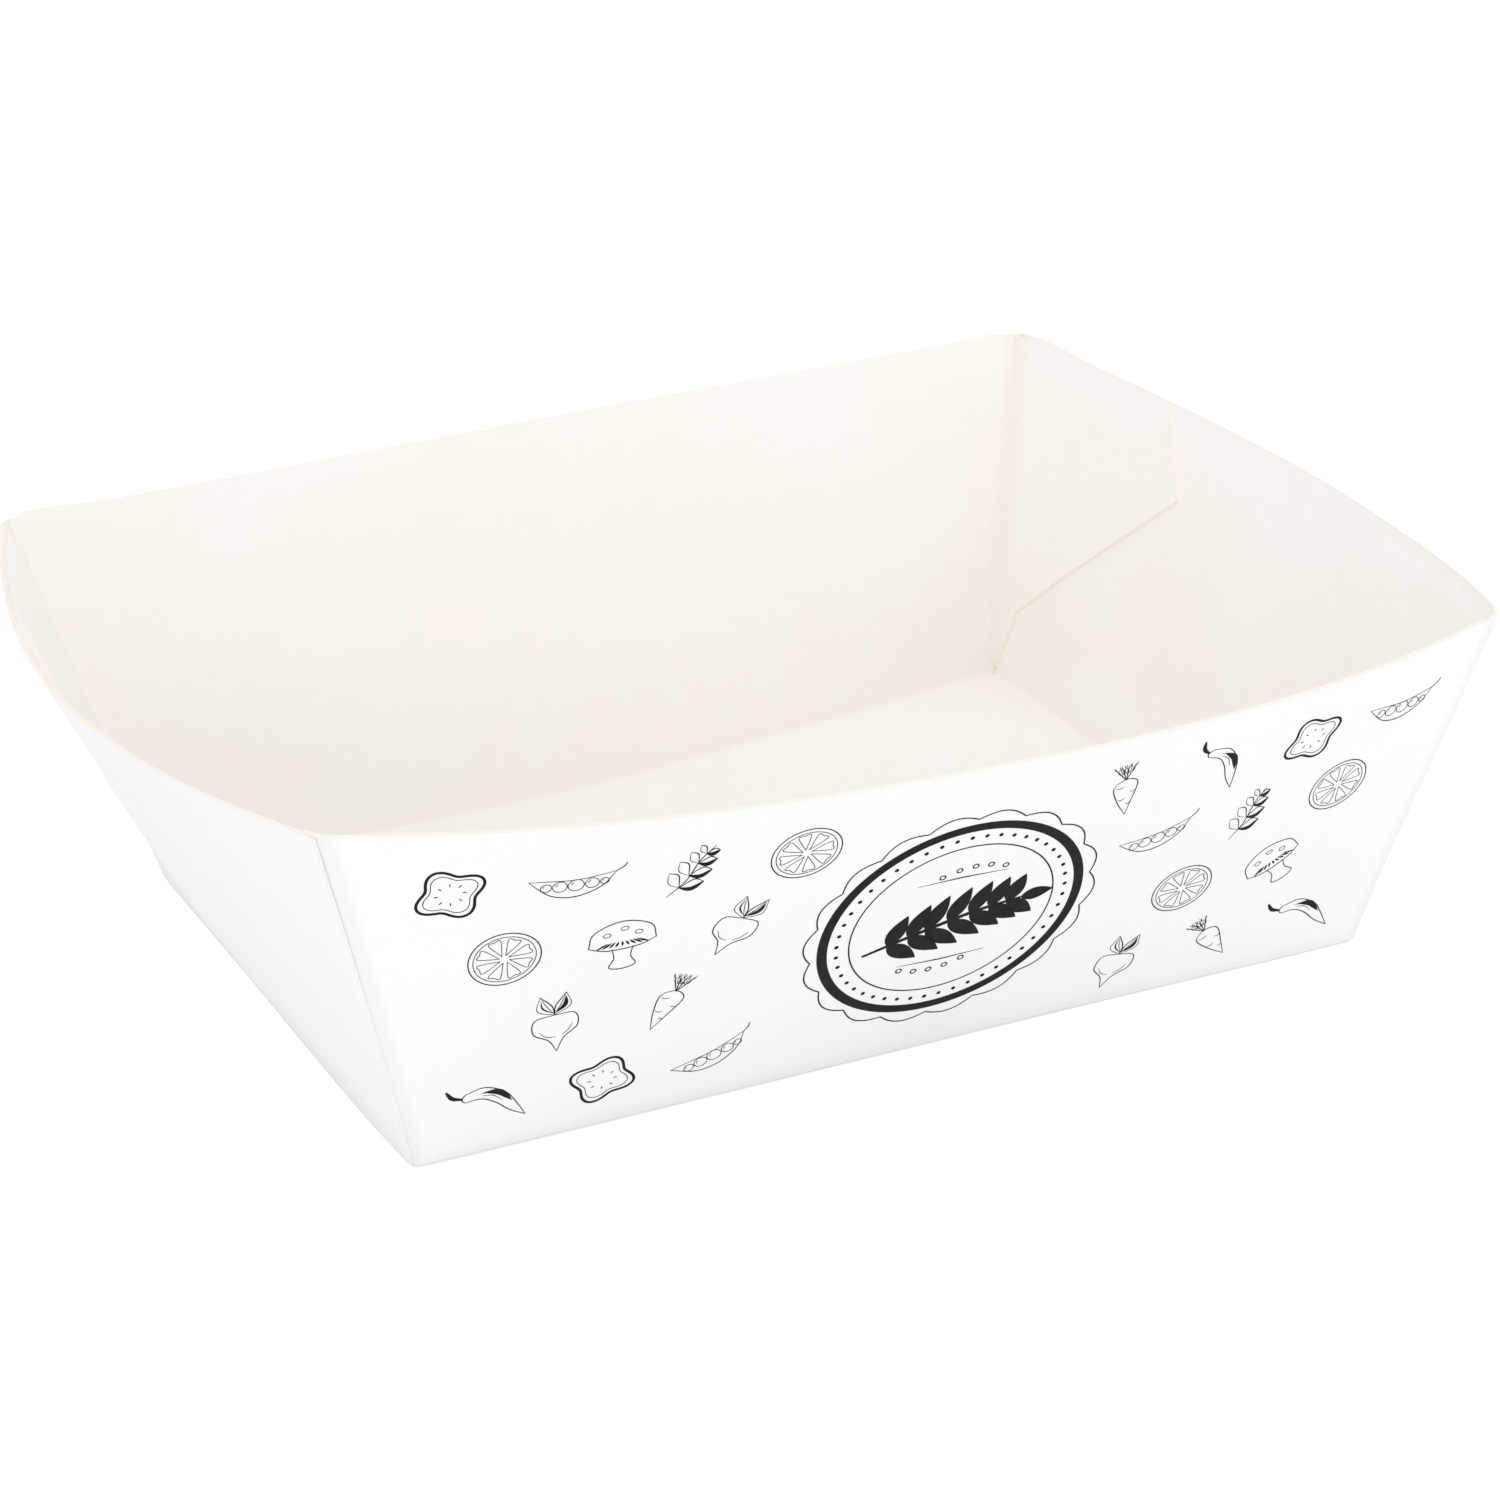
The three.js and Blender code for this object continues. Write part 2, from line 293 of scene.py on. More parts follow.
@dataclass
class TrayShape:
    """The ideal faces of the tray, in millimetres, with the sizes that the solid model has.

    A wall face is read at u, from -0.5 to 0.5 along the wall, and v, from 0 at its crease on the
    bottom to 1 at its rim.
    """

    board: float = 0.45
    crease_radius: float = 0.9
    glue_press: float = 0.07
    bottom: Pair = (118.5, 85.5)
    creep: Pair = (0.95, -0.8)
    corners: Pair = (140.7, 110.5)
    corner_height: float = 45.5
    rises: dict[Corner, float] = field(default_factory=lambda: by_corner(0.4, -3.2, -0.2, 2.5))
    long_bow: float = 8.1
    long_dip: float = 2.6
    long_power: float = 2.4
    short_bow: float = 9.6
    short_dip: float = 1.9
    short_power: float = 1.9
    probe: float = 0.001
    lifts: tuple[CornerLift, ...] = (
        CornerLift(corner=(1, 1), height=4.7, start=(-6.0, -36.0), power=1.3),
        CornerLift(corner=(-1, -1), height=0.43, start=(32.0, 40.0), power=1.0),
    )
    waves: SlowWaves = SlowWaves()
    belly: Belly = Belly()
    pushes: tuple[HandPush, ...] = (
        HandPush(place=(70.4, -55.3, 42.3), reach=(13.0, 13.0, 14.0), shift=(0.0, 0.0, 0.6)),
        HandPush(place=(76.0, -38.0, 42.0), reach=(14.0, 13.0, 16.0), shift=(0.5, 0.0, 0.2)),
        HandPush(place=(79.0, 12.0, 44.0), reach=(14.0, 19.0, 18.0), shift=(-0.62, 0.0, 0.0)),
        HandPush(place=(71.5, 50.0, 47.6), reach=(8.0, 8.0, 12.0), shift=(0.3, 0.0, 0.6)),
        HandPush(place=(-68.0, 55.5, 45.0), reach=(10.0, 10.0, 14.0), shift=(0.0, 0.0, 0.6)),
        HandPush(place=(-68.0, 14.0, 22.0), reach=(14.0, 20.0, 12.0), shift=(-0.6, 0.0, 0.0)),
        HandPush(place=(-64.5, -49.5, 22.0), reach=(12.0, 12.0, 60.0), shift=(0.75, 0.0, 0.0)),
        HandPush(place=(65.0, -50.0, 20.0), reach=(12.0, 12.0, 60.0), shift=(0.35, 0.0, 0.0)),
        HandPush(place=(-58.5, 15.0, 2.0), reach=(6.0, 30.0, 9.0), shift=(0.35, 0.0, 0.0)),
        HandPush(place=(63.0, 48.0, 2.0), reach=(8.0, 7.0, 32.0), shift=(-1.15, 0.0, 0.0)),
        HandPush(place=(58.0, -43.5, 0.0), reach=(22.0, 9.0, 9.0), shift=(0.15, -0.6, 0.0)),
    )

    @property
    def glue_depth(self) -> float:
        """Return how far inside the short walls' outer faces the flaps' outer faces lie."""
        return self.board - self.glue_press

    def corner_top(self, side_x: int, side_y: int) -> np.ndarray:
        """Return the sharp rim corner at one end of each axis."""
        height = self.corner_height + self.rises[(side_x, side_y)]
        return np.array([side_x * self.corners[0] / 2, side_y * self.corners[1] / 2, height])

    def corner_foot(self, side_x: int, side_y: int) -> np.ndarray:
        """Return the sharp bottom corner at one end of each axis."""
        x = self.creep[0] + side_x * self.bottom[0] / 2
        return np.array([x, self.creep[1] + side_y * self.bottom[1] / 2, 0.0])

    def long_row(self, v: np.ndarray) -> np.ndarray:
        """Return the length of a long wall at height share v."""
        return lerp(self.bottom[0], self.corners[0], v)

    def short_row(self, v: np.ndarray) -> np.ndarray:
        """Return the length of a short wall at height share v."""
        return lerp(self.bottom[1], self.corners[1], v)

    def long_face(self, side: int, u: np.ndarray, v: np.ndarray) -> np.ndarray:
        """Return points on the outer face of the long wall at one end of Y."""
        bow = np.array([0.0, side * self.long_bow, -self.long_dip])
        return self.ruled(((-1, side), (1, side)), bow, self.long_power, u, v)

    def short_face(self, side: int, u: np.ndarray, v: np.ndarray) -> np.ndarray:
        """Return points on the outer face of the short wall at one end of X."""
        bow = np.array([side * self.short_bow, 0.0, -self.short_dip])
        return self.ruled(((side, -1), (side, 1)), bow, self.short_power, u, v)

    def ruled(
        self, ends: tuple[Corner, Corner], bow: np.ndarray, power: float, u: np.ndarray, v: np.ndarray
    ) -> np.ndarray:
        """Return points on the ruled face between a straight crease and a bowed rim.

        Args:
            ends: The wall's two corners.
            bow: How far the rim's middle stands off the line between its corners.
            power: How flat the bow is in its middle.
            u: Places along the wall.
            v: Height shares on the wall.

        Returns:
            The points.
        """
        u, v = (np.asarray(a, float)[..., None] for a in (u, v))
        foot = lerp(self.corner_foot(*ends[0]), self.corner_foot(*ends[1]), u + 0.5)
        rim = lerp(self.corner_top(*ends[0]), self.corner_top(*ends[1]), u + 0.5)
        return lerp(foot, rim + (1 - np.abs(2 * u) ** power) * bow, v)

    def spots(
        self,
        face: Callable[[int, np.ndarray, np.ndarray], np.ndarray],
        side: int,
        u: np.ndarray,
        v: np.ndarray,
        outward: np.ndarray,
        depth: np.ndarray | float = 0.0,
    ) -> Spots:
        """Return points and outward normals on a face.

        Args:
            face: long_face or short_face of this shape.
            side: The end of the axis that the wall stands at.
            u: Places along the wall.
            v: Height shares on the wall.
            outward: A rough outward direction, which settles the normals' sign.
            depth: How far inside the face the points lie.

        Returns:
            The points and the unit normals there.
        """
        along = face(side, u + self.probe, v) - face(side, u - self.probe, v)
        rise = face(side, u, v + self.probe) - face(side, u, v - self.probe)
        normals = unit(np.cross(along, rise))
        normals = normals * np.sign(normals @ outward)[..., None]
        inset = np.asarray(depth, float)
        inset = inset[..., None] if inset.ndim else inset
        return face(side, u, v) - normals * inset, normals

    def long_spots(self, side: int, u: np.ndarray, v: np.ndarray) -> Spots:
        """Return points and normals on a long wall."""
        return self.spots(self.long_face, side, u, v, np.array([0.0, side, 0.0]))

    def short_spots(self, side: int, u: np.ndarray, v: np.ndarray, depth: np.ndarray | float) -> Spots:
        """Return points and normals on a short wall, at a depth inside its outer face."""
        return self.spots(self.short_face, side, u, v, np.array([side, 0.0, 0.0]), depth)

    def settle(self, points: np.ndarray) -> np.ndarray:
        """Return points as they lie in the folded tray, lifted and moved by hand.

        Args:
            points: The ideal points.

        Returns:
            The moved points.
        """
        moved = points + sum(effect.moved(points) for effect in (self.waves, self.belly, *self.pushes))
        raised = sum(lift.raised(points, self.corner_foot(*lift.corner)) for lift in self.lifts)
        moved[..., 2] += raised * np.clip(1 - points[..., 2] / self.corner_height, 0.0, 1.0)
        return moved


@dataclass(frozen=True)
class WallColumn:
    """A column of a long wall, at a place past its corner's fold that is negative on the flap's side."""

    spots: Spots
    corner: Corner
    place: float


@dataclass
class FoldedBoard:
    """The tray's sheet of board: bottom panel, four walls, corner bends and glue flaps.

    Sizes are in millimetres. A bend's reach and an edge's inset are given at the crease on the bottom
    and at the rim, an edge's lift as its height and its width, and the flap's outline as heights with
    their reaches. A pair whose name ends in fade is the start and the end of a fade.
    """

    shape: TrayShape
    ahead: float = 0.02
    # Painted shade along the crease at each wall's foot.
    foot_fade: Pair = (0.8, 2.2)
    foot_shade_strength: float = 0.55

    bend_reaches: Pair = (0.8, 1.2)
    bend_half: float = 0.65
    leads: tuple[float, ...] = (0.8, 0.45, 0.25, 0.12)
    corner_drops: dict[Corner, float] = field(default_factory=lambda: by_corner(0.12, 0.45, 0.45, 0.40))
    corner_drop_reach: float = 1.4
    bead_heights: dict[Corner, float] = field(default_factory=lambda: by_corner(0.09, 0.09, 0.03, 0.10))
    bead_flap_fade: Pair = (0.15, 0.50)
    bead_wall_fade: Pair = (1.00, 1.35)
    bead_foot_fade: Pair = (1.0, 3.0)
    # Painted shade round each corner's fold, outside and inside, with its fades along the wall and the
    # flap.
    crease_fade: Pair = (0.5, 1.9)
    inner_shades: dict[Corner, float] = field(default_factory=lambda: by_corner(0.4, 0.4, 0.2, 1.0))
    inner_wall_fade: Pair = (0.1, 0.5)
    inner_flap_fade: Pair = (1.5, 5.5)

    edge_insets: dict[Corner, Pair] = field(
        default_factory=lambda: by_corner((0.5, 0.1), (0.5, 0.1), (0.7, 0.5), (0.7, 0.5))
    )
    closed_corner: Corner = (1, -1)
    edge_press: float = 0.22
    edge_press_reach: float = 0.6
    press_foot_share: float = 0.08
    edge_blunt: float = 0.5
    edge_blunt_reach: float = 2.0
    edge_lifts: dict[Corner, Pair] = field(
        default_factory=lambda: by_corner((0.0, 2.5), (0.05, 6.0), (0.05, 8.0), (0.20, 3.0))
    )
    edge_lift_fade: Pair = (0.45, 1.0)
    crease_end_fade: Pair = (2.0, 0.8)
    # Painted shade on the strip's outside near its pressed cut edges.
    edge_shade_fade: Pair = (0.35, 0.95)
    edge_shade_foot_fade: Pair = (0.5, 2.0)

    flap_outline: tuple[Pair, ...] = ((1.4, 2.1), (11.2, 6.0), (38.0, 35.1))
    flap_top_reach: float = 31.1
    flap_drop: float = 0.8
    flap_drop_reach: float = 5.0
    flap_drop_power: int = 12
    flap_start: float = 0.3
    flap_least: float = 0.1
    flap_proud: float = 0.012
    flap_bevel: float = 0.34
    flap_top_taper: float = 2.4
    flap_top_edge: float = 0.15

    wall_columns: int = 110
    drop_columns: int = 12
    strip_columns: int = 90
    edge_columns: int = 10
    bottom_columns: int = 24
    wall_rows: int = 30
    flap_rows: int = 34
    taper_rows: int = 7
    arc_steps: int = 7
    bend_steps: int = 8
    lip: float = 0.25
    lip_sink: float = 0.01

    points: list[np.ndarray] = field(default_factory=list)
    creases: list[np.ndarray] = field(default_factory=list)
    patches: list[tuple[np.ndarray, Finish]] = field(default_factory=list)

    def bend_reach(self, v: np.ndarray) -> np.ndarray:
        """Return how far a corner's bend reaches at height share v."""
        return lerp(*self.bend_reaches, np.asarray(v, float))

    def wall_height(self, corner: Corner) -> float:
        """Return the length of the corner line at one corner."""
        return float(np.linalg.norm(self.shape.corner_top(*corner) - self.shape.corner_foot(*corner)))

    def from_bend(self, corner: Corner, reach: float, v: np.ndarray) -> Spots:
        """Return spots on a long wall.

        Args:
            corner: The corner at the wall's end.
            reach: Their distance from the bend there.
            v: Their height shares.

        Returns:
            The points and normals.
        """
        shape = self.shape
        u = corner[0] * (0.5 - (reach + self.bend_reach(v) + shape.glue_depth) / shape.long_row(v))
        return shape.long_spots(corner[1], u, v)

    def flap_spots(self, corner: Corner, reach: np.ndarray, v: np.ndarray) -> Spots:
        """Return spots on a glue flap.

        Args:
            corner: The flap's corner.
            reach: Their distance from the corner.
            v: Their height shares.

        Returns:
            The points and normals.
        """
        shape = self.shape
        u = corner[1] * (0.5 - reach / shape.short_row(v))
        return shape.short_spots(corner[0], u, v, shape.glue_depth)

    def bend_spots(self, corner: Corner, t: float, v: np.ndarray) -> Spots:
        """Return spots on a corner's bend.

        Args:
            corner: The corner.
            t: The place round the bend, 0 at the long wall and 1 at the flap.
            v: Their height shares.

        Returns:
            The points and normals.
        """
        shape = self.shape
        start, start_normal = self.from_bend(corner, 0.0, v)
        end, end_normal = self.flap_spots(corner, self.bend_reach(v), v)
        share = np.asarray(v, float)[..., None]
        sharp = lerp(shape.corner_foot(*corner), shape.corner_top(*corner), share)
        sharp = sharp - np.array([corner[0] * shape.glue_depth, 0.0, 0.0])
        points = (1 - t) ** 2 * start + 2 * t * (1 - t) * sharp + t * t * end
        return points, unit(lerp(start_normal, end_normal, t))

    def column(self, spots_at: Callable[[np.ndarray], Spots], top: float, with_lip: bool = True) -> Spots:
        """Return one column of a wall, from its crease on the bottom up to its rim.

        Args:
            spots_at: Gives the wall's spots for an array of height shares.
            top: The height share at which the column ends.
            with_lip: Whether the column starts with a short lip on the bottom panel.

        Returns:
            The column's points and normals.
        """
        radius = self.shape.crease_radius
        (foot, ahead), (foot_normal, _) = spots_at(np.array([0.0, self.ahead]))
        rise = ahead - foot
        out = unit(foot_normal * FLAT)
        slope = math.atan2(rise[2], float(rise @ out))
        tangent = radius * math.tan(slope / 2)
        aside = (rise - out * float(rise @ out)) * FLAT
        crease_top = self.ahead * tangent / float(np.linalg.norm(rise))
        centre = foot - out * tangent + UP * radius
        points, normals = [], []
        if with_lip:
            points.append((centre - out * self.lip) * FLAT + UP * self.lip_sink)
            normals.append(-UP)
        for angle in slope * np.arange(self.arc_steps) / self.arc_steps:
            normal = out * math.sin(angle) - UP * math.cos(angle)
            point = centre + normal * radius
            points.append(point + aside * (point[2] / rise[2]))
            normals.append(normal)
        rows, row_normals = spots_at(np.linspace(crease_top, top, self.wall_rows + 1))
        return np.vstack([points, rows]), np.vstack([normals, row_normals])

    def bead(self, column: WallColumn) -> float:
        """Return how far a corner's bead stands out on the inside of a column."""
        fade = self.bead_wall_fade if column.place > 0 else self.bead_flap_fade
        return self.bead_heights[column.corner] * (1.0 - float(smooth_share(abs(column.place), *fade)))

    def inner_shade(self, column: WallColumn) -> float:
        """Return how strongly painted shade darkens the inside of a column at a corner's fold."""
        past = max(column.place, 0.0)
        return self.inner_shades[column.corner] * (1.0 - float(smooth_share(past, *self.inner_wall_fade)))

    def foot_shade(self, points: np.ndarray) -> np.ndarray:
        """Return how strongly painted shade darkens the crease at a wall's foot at the points."""
        return self.foot_shade_strength * (1 - smooth_share(points[..., 2], *self.foot_fade))

    def add_board(
        self,
        spots: Spots,
        thickness: np.ndarray,
        crease: np.ndarray,
        inner_crease: np.ndarray,
        side_edge: Finish = Finish.CUT_EDGE,
        bevelled: bool = False,
    ) -> None:
        """Add a closed board from a grid of outer spots.

        Args:
            spots: Outer points and their normals, each columns by rows by three.
            thickness: Board thickness, columns by rows.
            crease: How much painted shade darkens each outer spot, from 0 to 1.
            inner_crease: The same for the inner spots.
            side_edge: The finish of the first and last columns' edges.
            bevelled: Whether the last column's inner faces are a slanting cut edge.
        """
        points, normals = spots
        columns, rows = points.shape[:2]
        inner = points - normals * thickness[..., None]
        number = np.arange(columns * rows).reshape(columns, rows) + sum(map(len, self.points))
        below = number + columns * rows
        self.points += [points.reshape(-1, 3), inner.reshape(-1, 3)]
        # The crease shares are painted shade, which the board materials mix in as a darker tone.
        self.creases += [crease.ravel(), inner_crease.ravel()]
        outer_ring = (number[:-1, :-1], number[1:, :-1], number[1:, 1:], number[:-1, 1:])
        inner_ring = (below[:-1, :-1], below[:-1, 1:], below[1:, 1:], below[1:, :-1])
        foot = (below[:-1, 0], below[1:, 0], number[1:, 0], number[:-1, 0])
        rim = (number[:-1, -1], number[1:, -1], below[1:, -1], below[:-1, -1])
        first = (number[0, :-1], number[0, 1:], below[0, 1:], below[0, :-1])
        last = (below[-1, :-1], below[-1, 1:], number[-1, 1:], number[-1, :-1])
        flat = columns - 2 if bevelled else columns - 1
        flip = self.turned_in(points, normals)
        for ring, finish in (
            (outer_ring, Finish.OUTSIDE),
            ([part[:flat] for part in inner_ring], Finish.INSIDE),
            ([part[flat:] for part in inner_ring], Finish.CUT_EDGE),
            (foot, Finish.CUT_EDGE),
            (rim, Finish.CUT_EDGE),
            (first, side_edge),
            (last, side_edge),
        ):
            faces = np.stack([part.ravel() for part in ring], axis=1)
            self.patches.append((faces[:, ::-1] if flip else faces, finish))

    @staticmethod
    def turned_in(points: np.ndarray, normals: np.ndarray) -> bool:
        """Return whether a grid's own winding faces against its normals.

        Args:
            points: The grid's points.
            normals: Its normals.

        Returns:
            Whether its faces have to be turned round.
        """
        i, j = points.shape[0] // 2, points.shape[1] // 2
        along = points[i + 1, j] - points[i, j]
        rise = points[i, j + 1] - points[i, j]
        return float(np.cross(along, rise) @ normals[i, j]) < 0

    def end_columns(self, corner: Corner) -> list[WallColumn]:
        """Return a long wall's columns at one corner.

        Args:
            corner: The corner.

        Returns:
            The lead under the short wall, then the bend and the drop of the rim.
        """
        height, drop = self.wall_height(corner), self.corner_drops[corner]
        top = 1 - drop / height
        found = []
        for lead in self.leads:
            def lead_at(v: np.ndarray, lead: float = lead) -> Spots:
                """Return the lead's spots on the short side."""
                return self.flap_spots(corner, self.bend_reach(v) + lead, v)

            found.append(WallColumn(self.column(lead_at, top), corner, -self.bend_half - lead))
        for t in np.arange(self.bend_steps, 0, -1) / self.bend_steps:
            def bend_at(v: np.ndarray, t: float = t) -> Spots:
                """Return the bend's spots at one place round it."""
                return self.bend_spots(corner, t, v)

            found.append(WallColumn(self.column(bend_at, top), corner, (0.5 - t) * 2 * self.bend_half))
        for share in np.arange(self.drop_columns) / self.drop_columns:
            near = share * self.corner_drop_reach

            def wall_at(v: np.ndarray, near: float = near) -> Spots:
                """Return the wall's spots just past the bend."""
                return self.from_bend(corner, near, v)

            spots = self.column(wall_at, 1 - drop * (1 - share) / height)
            found.append(WallColumn(spots, corner, self.bend_half + near))
        return found

    def middle_columns(self, side: int) -> list[WallColumn]:
        """Return a long wall's columns between its corners' drops.

        Args:
            side: The end of Y that the wall stands at.

        Returns:
            The columns, in the order of X.
        """
        found = []
        for u in np.linspace(-0.5, 0.5, self.wall_columns):
            def wall_at(v: np.ndarray, u: float = u) -> Spots:
                """Return the wall's spots at one place along it."""
                inset = self.bend_reach(v) + self.corner_drop_reach + self.shape.glue_depth
                return self.shape.long_spots(side, u * (1 - 2 * inset / self.shape.long_row(v)), v)

            away = (0.5 - abs(u)) * self.shape.corners[0] + self.corner_drop_reach + self.bend_half
            found.append(WallColumn(self.column(wall_at, 1.0), (-1 if u < 0 else 1, side), away))
        return found

    def add_long_wall(self, side: int) -> None:
        """Add a long wall with its corner bends and short leads.

        Args:
            side: The end of Y that the wall stands at.
        """
        left, right = (self.end_columns((side_x, side)) for side_x in Side)
        columns = left + self.middle_columns(side) + right[::-1]
        points, normals = (np.array(part) for part in zip(*(column.spots for column in columns)))
        beads = np.array([self.bead(column) for column in columns])
        # Painted shade on the inside at each corner's fold.
        fold_shades = np.array([self.inner_shade(column) for column in columns])
        thickness = np.full(points.shape[:2], self.shape.board)
        thickness[:, 0] -= 2 * self.lip_sink
        thickness += smooth_share(points[..., 2], *self.bead_foot_fade) * beads[:, None]
        # Painted shade on the outside round the corner folds, and along the walls' feet.
        places = np.abs([column.place for column in columns])
        folded = 1 - smooth_share(places, *self.crease_fade)
        foot = self.foot_shade(points)
        outer, inner = (np.maximum(shade[:, None], foot) for shade in (folded, fold_shades))
        self.add_board((points, normals), thickness, outer, inner)

    def strip_shares(self) -> np.ndarray:
        """Return the places across the short strip, closer together at its cut edges.

        Returns:
            The places, from -1 at one cut edge to 1 at the other.
        """
        edge = 2 * self.edge_blunt_reach / self.shape.corners[1]
        inner = np.linspace(edge - 1, 1 - edge, self.strip_columns)
        low = np.linspace(-1, edge - 1, self.edge_columns + 1)[:-1]
        return np.concatenate([low, inner, -low[::-1]])

    def in_from_edge(self, shares: np.ndarray) -> np.ndarray:
        """Return how far in from the strip's cut edges the places lie at the rim."""
        return (1 - np.abs(shares)) * self.shape.corners[1] / 2

    def press(self, shares: np.ndarray, v: np.ndarray) -> np.ndarray:
        """Return how far the strip's outer face is pressed in near its cut edges."""
        near = 1 - smooth_share(self.in_from_edge(shares), 0.0, self.edge_press_reach)
        return self.edge_press * near * smooth_share(v, 0.0, self.press_foot_share)

    def edge_fill(self, points: np.ndarray, shares: np.ndarray) -> np.ndarray:
        """Return how much deeper the strip is where it is pressed onto the closed corner's bend.

        Args:
            points: The strip's outer points.
            shares: Their places across the strip.

        Returns:
            The added depth at each point.
        """
        side_x, side_y = self.closed_corner
        v = np.clip(points[..., 2] / self.shape.corner_height, 0.0, 1.0)
        reach = self.bend_reach(v)
        from_corner = (1 - side_y * shares) * self.shape.short_row(v) / 2
        from_corner = from_corner + lerp(*self.edge_insets[self.closed_corner], v)
        depth = reach * (1 - np.sqrt(np.clip(from_corner / reach, 0.0, 1.0))) ** 2
        return depth * (points[..., 0] * side_x > 0) * smooth_share(v, 0.0, self.press_foot_share)

    def strip_wall(self, side: Side, share: float) -> Spots:
        """Return one column of a short wall.

        Args:
            side: The end of X that the wall stands at.
            share: The column's place across the strip.

        Returns:
            The column's points and normals.
        """
        shape = self.shape
        corner = (int(side), 1 if share > 0 else -1)
        height, wide = self.edge_lifts[corner]

        def wall_at(v: np.ndarray) -> Spots:
            """Return the column's spots, lifted near the upper corners and pressed at the cut edge.

            Args:
                v: Their height shares.

            Returns:
                The points and normals.
            """
            inset = lerp(*self.edge_insets[corner], v)
            u = share * (0.5 - inset / shape.short_row(v))
            reach = (0.5 - np.abs(u)) * shape.short_row(v) - inset
            lift = height * np.exp(-((reach / wide) ** 2)) * smooth_share(v, *self.edge_lift_fade)
            return shape.short_spots(side, u, v, self.press(share, v) - lift)

        near = max(0.0, 1 - self.in_from_edge(share) / self.edge_blunt_reach)
        return self.column(wall_at, 1 - self.edge_blunt * near / shape.corner_height, with_lip=False)

    def add_short_strip(self) -> None:
        """Add the strip of both short walls and the bottom panel between them."""
        shape = self.shape
        down = np.repeat(-UP[None], self.bottom_columns, axis=0)
        columns = []
        for share in self.strip_shares():
            (left, left_normals), (right, right_normals) = (self.strip_wall(side, share) for side in Side)
            middle = np.linspace(left[0], right[0], self.bottom_columns + 2)[1:-1]
            columns.append((
                np.vstack([left[::-1], middle, right]),
                np.vstack([left_normals[::-1], down, right_normals]),
            ))
        points, normals = (np.array(part) for part in zip(*columns))
        shares = self.strip_shares()[:, None]
        pressed = self.press(shares, points[..., 2] / shape.corner_height)
        thickness = shape.board - pressed + self.edge_fill(points, shares)
        # Painted shade: darker along the short walls' creases on the bottom and near the cut edges where
        # the strip is pressed onto the bends.
        from_middle = np.abs(points[..., 0] - shape.creep[0])
        ends = smooth_share(from_middle, *(shape.bottom[0] / 2 - inset for inset in self.crease_end_fade))
        foot = self.foot_shade(points) * ends
        at_edge = 1 - smooth_share(self.in_from_edge(shares), 0.0, self.edge_press_reach)
        edge_shade = smooth_share(at_edge, *self.edge_shade_fade) * smooth_share(points[..., 2], *self.edge_shade_foot_fade)
        self.add_board((points, normals), thickness, np.maximum(foot, edge_shade), foot, Finish.OUTSIDE)

    def add_flap(self, corner: Corner) -> None:
        """Add the glue flap that runs along a short wall.

        Args:
            corner: The corner that it starts at.
        """
        height = self.wall_height(corner)
        top = height - self.flap_drop
        outline = np.array([*self.flap_outline, (top, self.flap_top_reach)])
        foot = outline[0, 0]
        tapers = top - self.flap_top_taper * np.linspace(0.0, 1.0, self.taper_rows)
        even = np.linspace(foot, top, self.flap_rows)
        levels = np.unique(np.concatenate([even, outline[:, 0], [foot + self.flap_bevel], tapers]))
        start = self.bend_reach(levels / height) + self.flap_start
        ends = np.maximum(np.interp(levels, outline[:, 0], outline[:, 1]), start + self.flap_start)
        inner_ends = np.maximum(ends - self.flap_bevel, start + self.flap_least)
        shares = np.linspace(0.0, 1.0, self.flap_rows)[:, None]
        at = np.vstack([lerp(start[None, :], inner_ends[None, :], shares), ends[None, :]])
        spare = self.flap_drop - self.corner_drops[corner]
        near_corner = 1 - smooth_share(at, 0.0, self.flap_drop_reach)
        raised = levels + spare * near_corner * (levels / top) ** self.flap_drop_power
        full, thin = (board + self.flap_proud for board in (self.shape.board, self.shape.glue_press))
        foot_taper = lerp(thin, full, np.clip((levels - foot) / self.flap_bevel, 0.0, 1.0))
        top_taper = lerp(self.flap_top_edge, full, smooth_share(top - levels, 0.0, self.flap_top_taper))
        thickness = np.full(at.shape, full)
        thickness[-1] = thin
        thickness = np.minimum(thickness, np.minimum(foot_taper, top_taper))
        # Painted shade on the flap's inside, fading away from the corner's fold.
        flap_shade = self.inner_shades[corner] * (1 - smooth_share(at, *self.inner_flap_fade))
        spots = self.flap_spots(corner, at, raised / height)
        self.add_board(spots, thickness, np.zeros(at.shape), flap_shade, bevelled=True)

    def build(self, materials: list[bpy.types.Material]) -> bpy.types.Object:
        """Make the sheet's object.

        Args:
            materials: The outside, inside and cut edge materials, in the order of Finish.

        Returns:
            The object, with its mesh in metres.
        """
        self.add_short_strip()
        for side_y in Side:
            self.add_long_wall(side_y)
            for side_x in Side:
                self.add_flap((side_x, side_y))
        points = self.shape.settle(np.vstack(self.points)) * MM
        counts = [len(faces) for faces, _ in self.patches]
        faces = np.vstack([faces for faces, _ in self.patches])
        mesh = bpy.data.meshes.new("tray_sheet")
        mesh.from_pydata(points.tolist(), [], faces.tolist())
        for material in materials:
            mesh.materials.append(material)
        finishes = np.repeat([int(finish) for _, finish in self.patches], counts)
        mesh.polygons.foreach_set("material_index", finishes.tolist())
        mesh.polygons.foreach_set("use_smooth", [True] * len(faces))
        # Each point's painted shade share, which darkens the board materials' colour.
        crease = mesh.attributes.new("crease", "FLOAT", "POINT")
        crease.data.foreach_set("value", np.concatenate(self.creases).tolist())
        self.mark_sharp_edges(mesh, faces, np.repeat(np.arange(len(counts)), counts))
        mesh.validate()
        mesh.update()
        return add_to_scene("tray_sheet", mesh)

